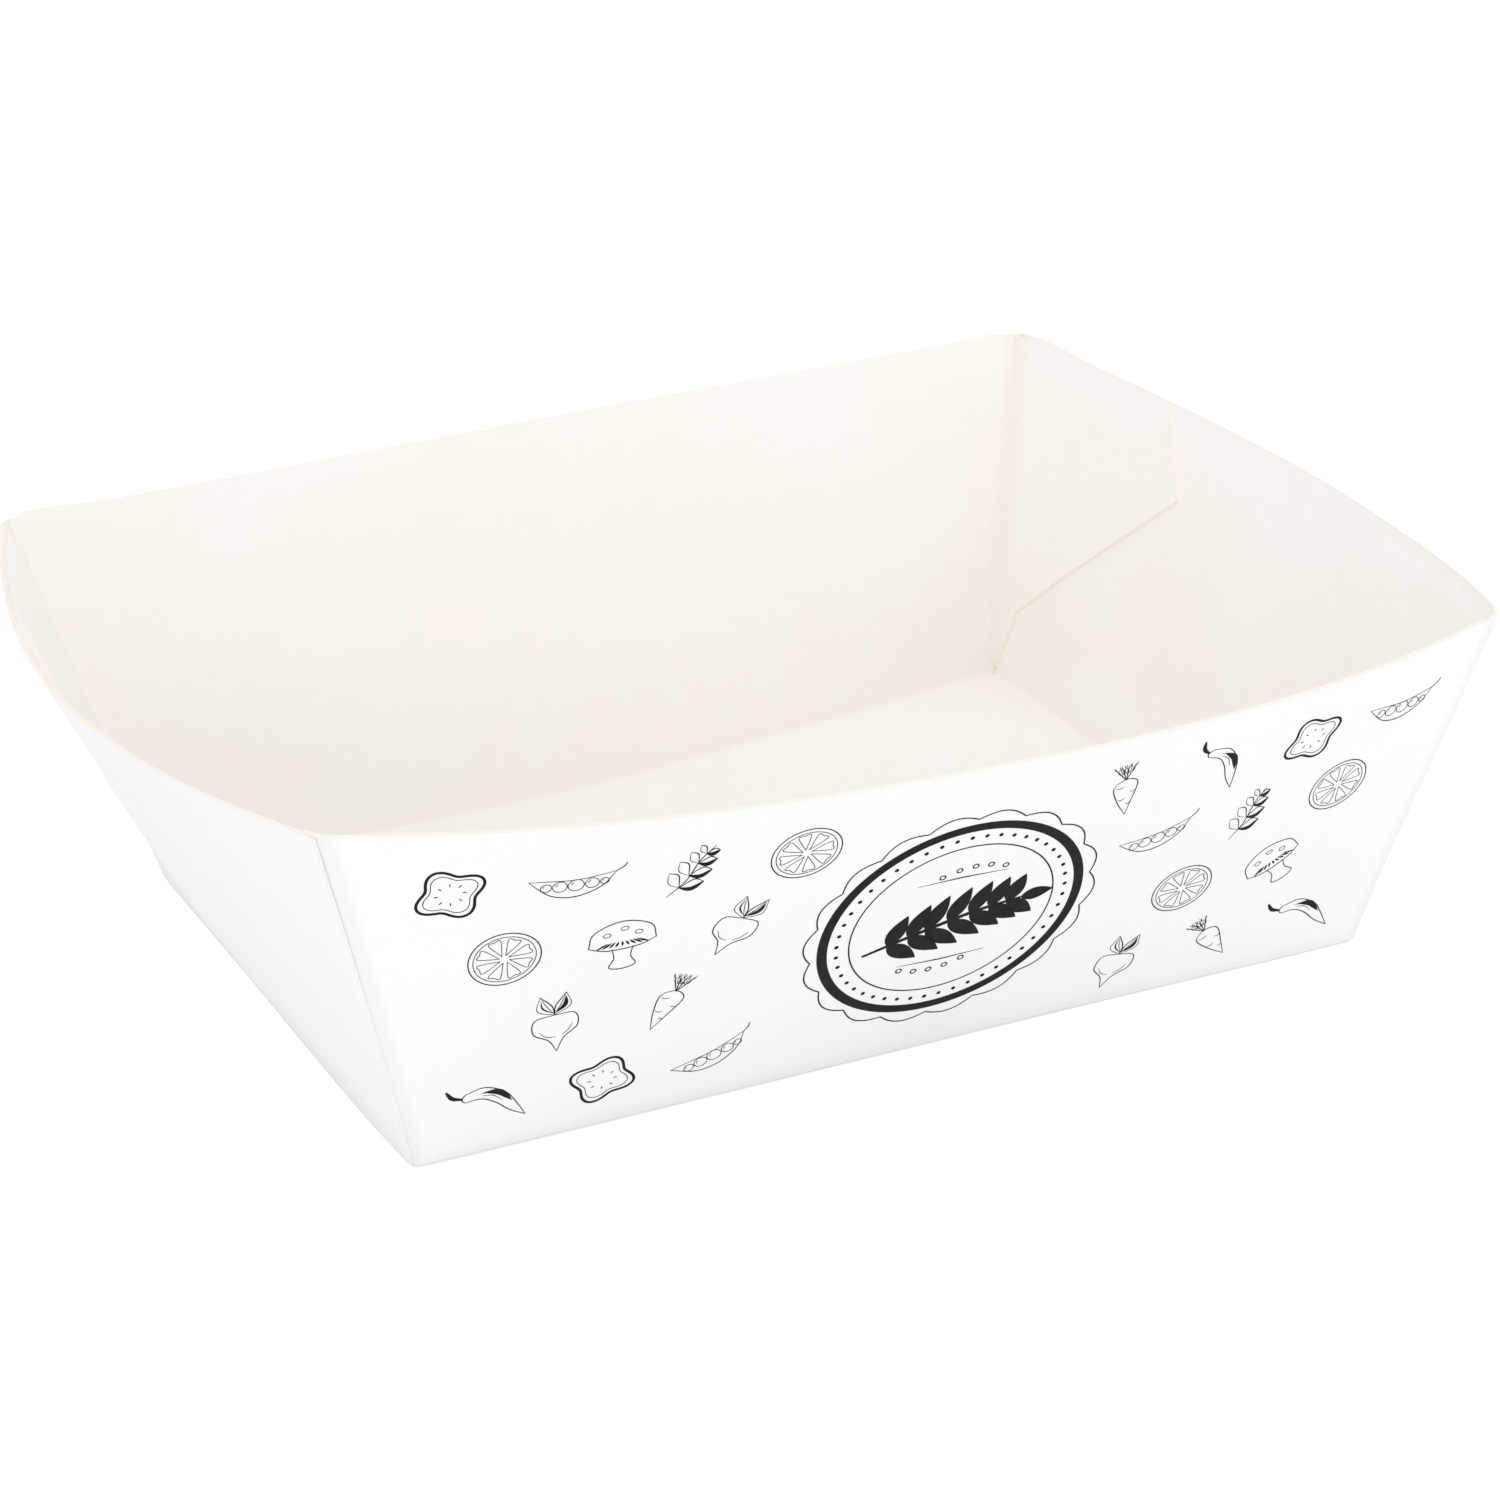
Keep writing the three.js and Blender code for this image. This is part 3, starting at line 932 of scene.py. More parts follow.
    @staticmethod
    def mark_sharp_edges(mesh: bpy.types.Mesh, faces: np.ndarray, groups: np.ndarray) -> None:
        """Mark as sharp every edge at which two groups of faces meet.

        Args:
            mesh: The sheet's mesh.
            faces: Its faces.
            groups: The number of each face's group.
        """
        seen: dict[tuple[int, int], int] = {}
        sharp: set[tuple[int, int]] = set()
        for face, group in zip(faces.tolist(), groups.tolist()):
            for a, b in zip(face, face[1:] + face[:1]):
                key = (min(a, b), max(a, b))
                if seen.setdefault(key, group) != group:
                    sharp.add(key)
        for edge in mesh.edges:
            a, b = edge.vertices
            edge.use_edge_sharp = (min(a, b), max(a, b)) in sharp


# Printed line work


class Motif(Enum):
    """The small line drawings of the print."""

    LEMON = "lemon"
    CARROT = "carrot"
    PEA_POD = "pea_pod"
    MUSHROOM = "mushroom"
    CHILLI = "chilli"
    SPRIG = "sprig"
    RADISH = "radish"
    PEPPER_RING = "pepper_ring"


Stroke = tuple[np.ndarray, float, float]


def turned(radius: float, angle: float) -> Pair:
    """Return the flat place at a radius and an angle in radians."""
    return radius * math.cos(angle), radius * math.sin(angle)


def arc(
    cx: float, cy: float, rx: float, ry: float, start: float, end: float, count: int = 28
) -> np.ndarray:
    """Return points on an arc of an ellipse, from its centre, its radii and its two angles in degrees."""
    angles = np.radians(np.linspace(start, end, count))
    return np.stack([cx + rx * np.cos(angles), cy + ry * np.sin(angles)], axis=1)


def curve(*knots: Pair, count: int = 22) -> np.ndarray:
    """Return a smooth line through the knots, as a Catmull-Rom curve.

    Args:
        knots: The places that the line runs through.
        count: About how many points the line gets.

    Returns:
        The points, one row each.
    """
    row = np.array(knots, float)
    row = np.vstack([2 * row[0] - row[1], row, 2 * row[-1] - row[-2]])
    t = np.linspace(0, 1, max(3, count // (len(row) - 3)), endpoint=False)[:, None]
    out = []
    for a, b, c, d in zip(row[:-3], row[1:-2], row[2:-1], row[3:]):
        square, cube = 2 * a - 5 * b + 4 * c - d, 3 * b - a - 3 * c + d
        out.append(0.5 * (2 * b + (c - a) * t + square * t**2 + cube * t**3))
    return np.vstack(out + [row[-2:-1]])


@dataclass
class InkPen:
    """Draws closed, hair-thin ink films on the front wall, with sizes in millimetres."""

    shape: TrayShape
    slant_height: float = 48.5
    film: float = 0.022
    sink: float = 0.05
    line_half: float = 0.004
    blade_half: float = 0.02
    blade_steps: int = 14
    blade_powers: Pair = (0.8, 0.9)
    shortest: float = 1e-9
    points: list[np.ndarray] = field(default_factory=list)
    faces: list[np.ndarray] = field(default_factory=list)

    def wall_spots(self, flat: np.ndarray) -> Spots:
        """Return the front wall's ideal spots at flat places, measured from the middle of its crease."""
        v = flat[..., 1] / self.slant_height
        return self.shape.long_spots(Side.LOW, flat[..., 0] / self.shape.long_row(v), v)

    def on_wall(self, flat: np.ndarray, lift: float) -> np.ndarray:
        """Return settled points on the front wall, at a lift above its face in millimetres."""
        points, normals = self.wall_spots(flat)
        return self.shape.settle(points) + normals * lift

    def ribbon(self, line: np.ndarray, half: np.ndarray, across: int = 1) -> None:
        """Add a closed film along a line.

        Args:
            line: The middle line's flat points.
            half: Half the film's width at each point.
            across: Number of faces across the film.
        """
        ahead = np.gradient(line, axis=0)
        length = np.maximum(np.linalg.norm(ahead, axis=1, keepdims=True), self.shortest)
        aside = np.stack([-ahead[:, 1], ahead[:, 0]], axis=1) / length * half[:, None]
        flat = line[:, None] + np.linspace(-1, 1, across + 1)[None, :, None] * aside[:, None]
        rows, width = flat.shape[:2]
        top = np.arange(rows * width).reshape(rows, width) + sum(map(len, self.points))
        base = top + rows * width
        self.points += [self.on_wall(flat, lift).reshape(-1, 3) for lift in (self.film, -self.sink)]
        for ring in (
            (top[:-1, :-1], top[:-1, 1:], top[1:, 1:], top[1:, :-1]),
            (base[:-1, :-1], base[1:, :-1], base[1:, 1:], base[:-1, 1:]),
            (top[:-1, 0], top[1:, 0], base[1:, 0], base[:-1, 0]),
            (base[:-1, -1], base[1:, -1], top[1:, -1], top[:-1, -1]),
            (base[0, :-1], base[0, 1:], top[0, 1:], top[0, :-1]),
            (top[-1, :-1], top[-1, 1:], base[-1, 1:], base[-1, :-1]),
        ):
            self.faces.append(np.stack([part.ravel() for part in ring], axis=1)[:, ::-1])

    def line(self, points: np.ndarray, width: float, taper: float = 0.0) -> None:
        """Add a pen line whose width falls off towards its ends by the taper share."""
        t = np.linspace(0, np.pi, len(points))
        self.ribbon(points, width / 2 * (1 - taper + taper * np.sin(t)) + self.line_half)

    def blade(self, start: np.ndarray, end: np.ndarray, width: float, across: int = 4) -> None:
        """Add a solid leaf between two points, widest in its lower half.

        Args:
            start: The leaf's foot.
            end: The leaf's tip.
            width: Its greatest width.
            across: Number of faces across it.
        """
        t = np.linspace(0, 1, self.blade_steps)
        along, round_off = self.blade_powers
        half = width / 2 * np.sin(np.pi * t**along) ** round_off + self.blade_half
        self.ribbon(lerp(start, end, t[:, None]), half, across)

    def build(self, name: str, ink: bpy.types.Material) -> bpy.types.Object:
        """Make the object of everything drawn so far.

        Args:
            name: The object's name.
            ink: Its material.

        Returns:
            The object, with its mesh in metres.
        """
        mesh = bpy.data.meshes.new(name)
        mesh.from_pydata((np.vstack(self.points) * MM).tolist(), [], np.vstack(self.faces).tolist())
        mesh.materials.append(ink)
        mesh.validate()
        mesh.update()
        return add_to_scene(name, mesh)


@dataclass
class LineDrawings:
    """The garden motifs, each drawn about 11 mm across round its own middle."""

    fine: float = 0.11
    firm: float = 0.17

    def strokes(self, motif: Motif) -> list[Stroke]:
        """Return a motif's lines, each with its width and taper."""
        return getattr(self, motif.value)()

    def lemon(self) -> list[Stroke]:
        """Return a round slice with its segments.

        Returns:
            The lines, each with its width and taper.
        """
        lines: list[Stroke] = [
            (arc(0, 0, 5.2, 5.0, 0, 360, 48), self.firm, 0.0),
            (arc(0, 0, 4.5, 4.3, 0, 360, 44), self.fine, 0.0),
        ]
        lean = 0.14
        for k in range(8):
            tip = turned(0.7, math.radians(45 * k + 8) - lean)
            knots = [turned(3.8, math.radians(45 * k + d) - lean) for d in (-14, 0, 14)]
            lines.append((curve(tip, *knots, tip, count=24), self.fine, 0.2))
        return lines

    def carrot(self) -> list[Stroke]:
        """Return a carrot with its leaves.

        Returns:
            The lines, each with its width and taper.
        """
        right = ((-1.5, 1.9), (0.0, 2.5), (1.6, 1.8), (1.9, 0.4), (1.0, -2.8), (0.1, -5.8))
        lines: list[Stroke] = [
            (curve((-1.5, 1.9), (-2.0, 0.6), (-1.2, -2.6), (0.1, -5.8)), self.firm, 0.5),
            (curve(*right), self.firm, 0.5),
        ]
        for y, x, w in ((0.9, -1.7, 1.5), (-0.6, 0.7, 0.9), (-1.9, -1.2, 1.2), (-3.2, 0.1, 0.7)):
            lines.append((curve((x, y), (x + w / 2, y - 0.22), (x + w, y)), self.fine, 0.8))
        for lean in (-1.9, -0.8, 0.3, 1.5):
            lines.append((curve((0, 2.3), (lean * 0.5, 3.9), (lean, 5.6)), self.firm, 0.6))
            for k in (0.45, 0.75):
                x, y = lean * k, 2.3 + 3.3 * k
                for way in (1, -1):
                    leaf = curve((x, y), (x + way * 0.5, y + 0.6), (x + way * 0.6, y + 1.2))
                    lines.append((leaf, self.fine, 0.7))
        return lines

    def pea_pod(self) -> list[Stroke]:
        """Return an open pod with its peas.

        Returns:
            The lines, each with its width and taper.
        """
        lines: list[Stroke] = [
            (curve((-6, 1.5), (-3, -1.6), (0.5, -2.4), (4, -1.0), (6, 1.7)), self.firm, 0.5),
            (curve((-6, 1.5), (-3, 1.2), (0.5, 0.9), (4, 1.3), (6, 1.7)), self.fine, 0.4),
            (curve((6, 1.7), (6.9, 2.3), (7.4, 3.1)), self.firm, 0.3),
        ]
        for x, r in ((-3.6, 0.75), (-1.7, 1.0), (0.5, 1.1), (2.7, 0.95), (4.4, 0.6)):
            lines.append((arc(x, 0.15 - 0.25 * r, r, r, 0, 360, 22), self.fine, 0.0))
            lines.append((arc(x, 0.15 - 0.25 * r, r * 0.6, r * 0.6, 110, 170, 8), self.fine, 0.5))
        return lines

    def mushroom(self) -> list[Stroke]:
        """Return a capped mushroom.

        Returns:
            The lines, each with its width and taper.
        """
        stalk = ((-1.5, -0.8), (-1.2, -2.8), (-1.9, -4.6), (0, -5.2), (1.9, -4.6), (1.2, -2.8), (1.5, -0.8))
        lines: list[Stroke] = [
            (curve((-4.8, 0.2), (-4.0, 3.2), (0, 4.8), (4.0, 3.2), (4.8, 0.2)), self.firm, 0.2),
            (curve((-4.8, 0.2), (-2.2, -0.9), (2.2, -0.9), (4.8, 0.2)), self.firm, 0.3),
            (curve(*stalk), self.firm, 0.3),
        ]
        for k in range(-4, 5):
            lines.append((curve((k * 0.95, -0.40), (k * 0.50, 0.60)), 0.34, 0.9))
        for x, y in ((-2.2, 2.3), (0.3, 3.2), (2.3, 2.0)):
            lines.append((arc(x, y, 0.55, 0.4, 0, 360, 14), self.fine, 0.0))
        return lines

    def chilli(self) -> list[Stroke]:
        """Return a bent chilli pod.

        Returns:
            The lines, each with its width and taper.
        """
        return [
            (curve((-3.6, 3.2), (-0.6, 3.5), (2.2, 1.4), (3.6, -1.6), (4.6, -4.6)), self.firm, 0.4),
            (curve((-3.9, 1.6), (-1.4, 1.4), (0.6, -0.2), (2.4, -2.6), (4.6, -4.6)), self.firm, 0.4),
            (curve((-3.6, 3.2), (-4.3, 2.4), (-3.9, 1.6)), self.firm, 0.2),
            (curve((-4.1, 2.4), (-5.6, 3.2), (-6.4, 4.8)), 0.7, 0.6),
            (curve((-1.0, 2.6), (1.4, 1.7), (3.0, -0.8)), 1.1, 1.0),
            (curve((-1.6, 2.5), (0.6, 2.0), (2.0, 0.2)), self.fine, 0.8),
            (curve((-1.2, 2.0), (0.4, 1.4), (1.5, 0.0)), self.fine, 0.8),
        ]

    def sprig(self) -> list[Stroke]:
        """Return a herb sprig with paired leaves.

        Returns:
            The lines, each with its width and taper.
        """
        lines: list[Stroke] = [(curve((-0.6, -5.8), (0.3, -2), (0.0, 2), (0.5, 5.4)), self.firm, 0.5)]
        for y, size in ((-3.6, 2.9), (-1.0, 2.7), (1.5, 2.2), (3.6, 1.6)):
            for way, width in ((-1, self.fine), (1, 0.8)):
                a, b = (0.1, y), (way * size, y + size * 0.75)
                lines.append((curve(a, (way * size * 0.45, y + size * 0.75), b), self.firm, 0.5))
                lines.append((curve(a, (way * size * 0.65, y + size * 0.12), b), width, 0.8))
        return lines

    def radish(self) -> list[Stroke]:
        """Return a round root with two leaves.

        Returns:
            The lines, each with its width and taper.
        """
        lines: list[Stroke] = [
            (curve((0, 1.6), (-2.9, 1.2), (-3.2, -1.6), (-1.1, -3.6), (0, -6.2)), self.firm, 0.4),
            (curve((0, 1.6), (2.9, 1.2), (3.2, -1.6), (1.1, -3.6), (0, -6.2)), self.firm, 0.4),
            (curve((-2.4, -1.4), (-1.4, -2.7), (0, -3.1)), self.fine, 0.7),
            (curve((2.5, -0.9), (1.9, -2.1), (0.9, -2.9)), self.fine, 0.7),
        ]
        for way, width in ((-1, 0.25), (1, 0.7)):
            lines.append((curve((0, 1.6), (way * 0.3, 3.6), (way * 1.9, 5.9)), self.firm, 0.3))
            lines.append((curve((0, 1.6), (way * 2.4, 3.1), (way * 1.9, 5.9)), self.fine, 0.4))
            lines.append((curve((0.1 * way, 2.0), (way * 1.6, 3.4), (way * 1.8, 5.2)), width, 1.0))
            lines.append((curve((0, 1.8), (way * 1.0, 3.6), (way * 1.7, 5.4)), self.fine, 0.7))
        return lines

    def pepper_ring(self) -> list[Stroke]:
        """Return a lobed pepper slice with its seeds.

        Returns:
            The lines, each with its width and taper.
        """
        angles = np.linspace(0, 2 * np.pi, 60)
        radius = 4.4 + 0.75 * np.cos(4 * angles)
        outer = np.stack([radius * np.cos(angles), radius * np.sin(angles) * 0.92], axis=1)
        lines: list[Stroke] = [(outer, 0.42, 0.0), (outer * 0.80, self.fine, 0.0)]
        for k in range(8):
            a = math.radians(45 * k + 20)
            x, y = 1.7 * math.cos(a), 1.5 * math.sin(a)
            lines.append((curve((x, y), (x * 1.35, y * 1.35)), self.firm, 0.6))
        return lines


@dataclass
class FrontPrint:
    """The black line print on the front wall: a scalloped medallion among rows of garden motifs.

    Sizes are in millimetres and turns in degrees.
    """

    shape: TrayShape
    centre: Pair = (1.0, 23.6)
    radius: float = 16.6
    scallops: int = 18
    scallop_depth: float = 0.935
    scallop_share: float = 1.065
    scallop_points: int = 325
    band_share: float = 0.925
    band_width: float = 1.2
    inner_share: float = 0.735
    hair_width: float = 0.17
    stem: tuple[Pair, ...] = ((-10.2, -3.6), (-4.0, -1.5), (2.6, 0.4), (8.2, 1.2))
    stem_points: int = 40
    stem_width: float = 0.6
    stem_taper: float = 0.4
    leaf_places: tuple[float, float, int] = (0.16, 0.90, 7)
    leaf_size: float = 5.9
    leaf_largest_at: float = 0.45
    leaf_shrink: float = 0.5
    leaf_turns: Pair = (16.0, 54.0)
    leaf_widths: Pair = (2.2, 2.0)
    tip_leaf: Pair = (3.9, 0.4)
    dot_pitch: float = 1.9
    dot_shift: float = 1.2
    dot_rise: float = 8.6
    dot_sag: float = 0.22
    dot_radius: float = 0.34
    dot_width: float = 0.16
    bar: tuple[Pair, ...] = ((-5.4, 6.9), (0.0, 7.1), (5.4, 6.9))
    bar_width: float = 0.2
    bar_taper: float = 0.8
    motif_size: float = 0.76
    motif_pitch: float = 12.6
    motif_rows: tuple[float, ...] = (7.8, 18.8, 29.8, 40.0)
    motif_columns: int = 5
    motif_end: float = 51.5
    end_slope: float = 0.13
    clear: float = 6.0
    clear_stretch: float = 1.05
    turn_steps: tuple[int, int] = (47, 31)
    turn_most: int = 38
    bead_share: float = 0.825
    bead_pitch: float = 1.75
    bead_radius: float = 0.26
    bead_depth: float = 0.06
    bead_sink: float = 0.005
    bead_sides: int = 14

    def ring(self, share: float, depth: float = 0.0, count: int = 217) -> np.ndarray:
        """Return a closed ring round the medallion's middle.

        Args:
            share: The ring's share of the full radius.
            depth: How deep its scallops are in millimetres.
            count: Number of points.

        Returns:
            The ring's flat points, the last on the first.
        """
        angles = np.linspace(0, 2 * np.pi, count)
        lobes = np.abs(np.cos(self.scallops * angles / 2))
        radius = self.radius * share - depth * (1 - lobes)
        return np.stack([radius * np.cos(angles), radius * np.sin(angles)], axis=1) + np.array(self.centre)

    def draw_medallion(self, pen: InkPen) -> None:
        """Draw the medallion's rings and the bold sprig inside it.

        Args:
            pen: The pen to draw with.
        """
        pen.line(self.ring(self.scallop_share, self.scallop_depth, self.scallop_points), self.hair_width)
        pen.line(self.ring(self.band_share), self.band_width)
        pen.line(self.ring(self.inner_share), self.hair_width)
        middle = np.array(self.centre)
        stem = curve(*self.stem, count=self.stem_points) + middle
        pen.line(stem, self.stem_width, self.stem_taper)
        lean, spread = self.leaf_turns
        for share in np.linspace(*self.leaf_places):
            foot = stem[int(share * (len(stem) - 1))]
            size = self.leaf_size * (1 - self.leaf_shrink * abs(share - self.leaf_largest_at))
            for way in (-1, 1):
                pen.blade(foot, foot + turned(size, math.radians(lean + way * spread)), self.leaf_widths[0])
        pen.blade(stem[-1], stem[-1] + self.tip_leaf, self.leaf_widths[1])
        radii = (self.dot_radius, self.dot_radius)
        for side in (1, -1):
            for k in range(-2, 3):
                along = k * self.dot_pitch + side * self.dot_shift
                dot = arc(along, side * (self.dot_rise - self.dot_sag * k * k), *radii, 0, 360, 12)
                pen.line(middle + dot, self.dot_width)
            pen.line(middle + np.array(self.bar) * (1, side), self.bar_width, self.bar_taper)

    def motif_places(self) -> list[tuple[Motif, float, float, float]]:
        """Return each motif with its place and turn, in offset rows clear of the medallion.

        Returns:
            Each motif with its place along and up the wall and its turn in degrees.
        """
        motifs = list(Motif)
        places = []
        step = 0
        for row, up in enumerate(self.motif_rows):
            for column in range(-self.motif_columns, self.motif_columns + 1):
                along = self.motif_pitch * (column + (0.5 if row % 2 else 0.0))
                if abs(along) > self.motif_end + up * self.end_slope:
                    continue
                step += 1
                past_middle = (up - self.centre[1]) * self.clear_stretch
                away = math.hypot(along - self.centre[0], past_middle)
                if away < self.radius + self.clear:
                    continue
                motif = motifs[(column * 3 + row * 2) % len(motifs)]
                turn = (step * self.turn_steps[0] + row * self.turn_steps[1]) % (2 * self.turn_most)
                places.append((motif, along, up, float(turn - self.turn_most)))
        return places

    def draw_motifs(self, pen: InkPen) -> None:
        """Draw every small motif at its place.

        Args:
            pen: The pen to draw with.
        """
        drawings = LineDrawings()
        for motif, along, up, turn in self.motif_places():
            cosine, sine = turned(1.0, math.radians(turn))
            spin = np.array([[cosine, sine], [-sine, cosine]]) * self.motif_size
            for line, width, taper in drawings.strokes(motif):
                pen.line(line @ spin + (along, up), width * self.motif_size, taper)

    def bead_tree(self, ink: bpy.types.Material) -> bpy.types.NodeTree:
        """Return the node tree that lays round ink beads along a path on the wall.

        Args:
            ink: The beads' material.

        Returns:
            The node tree.
        """
        tree = bpy.data.node_groups.new("ink_bead_row", "GeometryNodeTree")
        sizes = {"Pitch": self.bead_pitch * MM, "Radius": self.bead_radius * MM}
        add_sockets(tree, "INPUT", "NodeSocketGeometry", {"Geometry": None})
        add_sockets(tree, "INPUT", "NodeSocketFloat", sizes)
        add_sockets(tree, "OUTPUT", "NodeSocketGeometry", {"Geometry": None})
        kit = NodeKit(tree)
        source = kit.add("NodeGroupInput").outputs
        path = kit.add("GeometryNodeMeshToCurve", {"Mesh": source["Geometry"]}).outputs["Curve"]
        spacing = {"Curve": path, "Length": source["Pitch"]}
        even = kit.add("GeometryNodeResampleCurve", spacing, mode="LENGTH").outputs["Curve"]
        form = {"Vertices": self.bead_sides, "Radius": source["Radius"], "Depth": self.bead_depth * MM}
        bead = kit.add("GeometryNodeMeshCylinder", form).outputs["Mesh"]
        facing = kit.add("GeometryNodeInputNamedAttribute", {"Name": "facing"}, data_type="FLOAT_VECTOR")
        aim = {"Vector": facing.outputs["Attribute"]}
        turn = kit.add("FunctionNodeAlignRotationToVector", aim, axis="Z").outputs["Rotation"]
        row = {"Points": even, "Instance": bead, "Rotation": turn}
        placed = kit.add("GeometryNodeInstanceOnPoints", row).outputs["Instances"]
        real = kit.add("GeometryNodeRealizeInstances", {"Geometry": placed}).outputs["Geometry"]
        inked = kit.add("GeometryNodeSetMaterial", {"Geometry": real, "Material": ink}).outputs["Geometry"]
        kit.add("NodeGroupOutput", {"Geometry": inked})
        return tree

    def bead_row(self, pen: InkPen, ink: bpy.types.Material) -> bpy.types.Object:
        """Make the row of beads between the medallion's band and its inner ring.

        Args:
            pen: The pen, which knows the front wall.
            ink: The beads' material.

        Returns:
            The beads' object.
        """
        flat = self.ring(self.bead_share)
        path = pen.on_wall(flat, -self.bead_sink) * MM
        mesh = bpy.data.meshes.new("bead_path")
        mesh.from_pydata(path.tolist(), [(i, i + 1) for i in range(len(path) - 1)], [])
        facing = mesh.attributes.new("facing", "FLOAT_VECTOR", "POINT")
        facing.data.foreach_set("vector", pen.wall_spots(flat)[1].ravel().tolist())
        holder = add_to_scene("bead_path", mesh)
        holder.modifiers.new("beads", "NODES").node_group = self.bead_tree(ink)
        graph = bpy.context.evaluated_depsgraph_get()
        plain = bpy.data.meshes.new_from_object(holder.evaluated_get(graph))
        bpy.data.objects.remove(holder)
        plain.name = "print_beads"
        return add_to_scene("print_beads", plain)


# Finishes


@dataclass(frozen=True)
class BoardFinish:
    """How one surface of the board looks."""

    name: str
    colour: Triple
    blotch: Triple
    blotch_amount: float
    # Painted shade: the darker colour mixed in at folds and creases, and how far it goes.
    shade_colour: Triple
    shade_amount: float
    roughness: float
    specular: float
    fibre_scale: float
    fibre_amount: float
    bump: float


OUTSIDE = BoardFinish(
    name="white_coated_board",
    colour=(0.915, 0.915, 0.913),
    blotch=(0.890, 0.890, 0.890),
    blotch_amount=0.35,
    # Painted shade: grey mixed in at the folds and creases.
    shade_colour=(0.845, 0.845, 0.845),
    shade_amount=0.75,
    roughness=0.55,
    specular=0.35,
    fibre_scale=900.0,
    fibre_amount=0.02,
    bump=0.05,
)
INSIDE = BoardFinish(
    name="uncoated_board",
    colour=(0.920, 0.891, 0.863),
    blotch=(0.913, 0.868, 0.834),
    blotch_amount=0.55,
    # Painted shade: warm brown mixed in at the folds and creases.
    shade_colour=(0.868, 0.818, 0.768),
    shade_amount=0.36,
    roughness=0.85,
    specular=0.15,
    fibre_scale=700.0,
    fibre_amount=0.05,
    bump=0.14,
)
CUT_EDGE = BoardFinish(
    name="cut_board_edge",
    colour=(0.915, 0.862, 0.800),
    blotch=(0.900, 0.838, 0.765),
    blotch_amount=0.40,
    shade_colour=(0.915, 0.862, 0.800),
    shade_amount=0.0,
    roughness=0.95,
    specular=0.05,
    fibre_scale=1800.0,
    fibre_amount=0.05,
    bump=0.06,
)


@dataclass(frozen=True)
class InkFinish:
    """How the printing ink looks."""

    name: str = "black_print_ink"
    full: Triple = (0.006, 0.006, 0.0065)
    broken: Triple = (0.022, 0.022, 0.023)
    roughness: Pair = (0.5, 0.62)
    specular: float = 0.12
    fibre_scale: float = 1400.0
    fibre_amount: float = 0.35


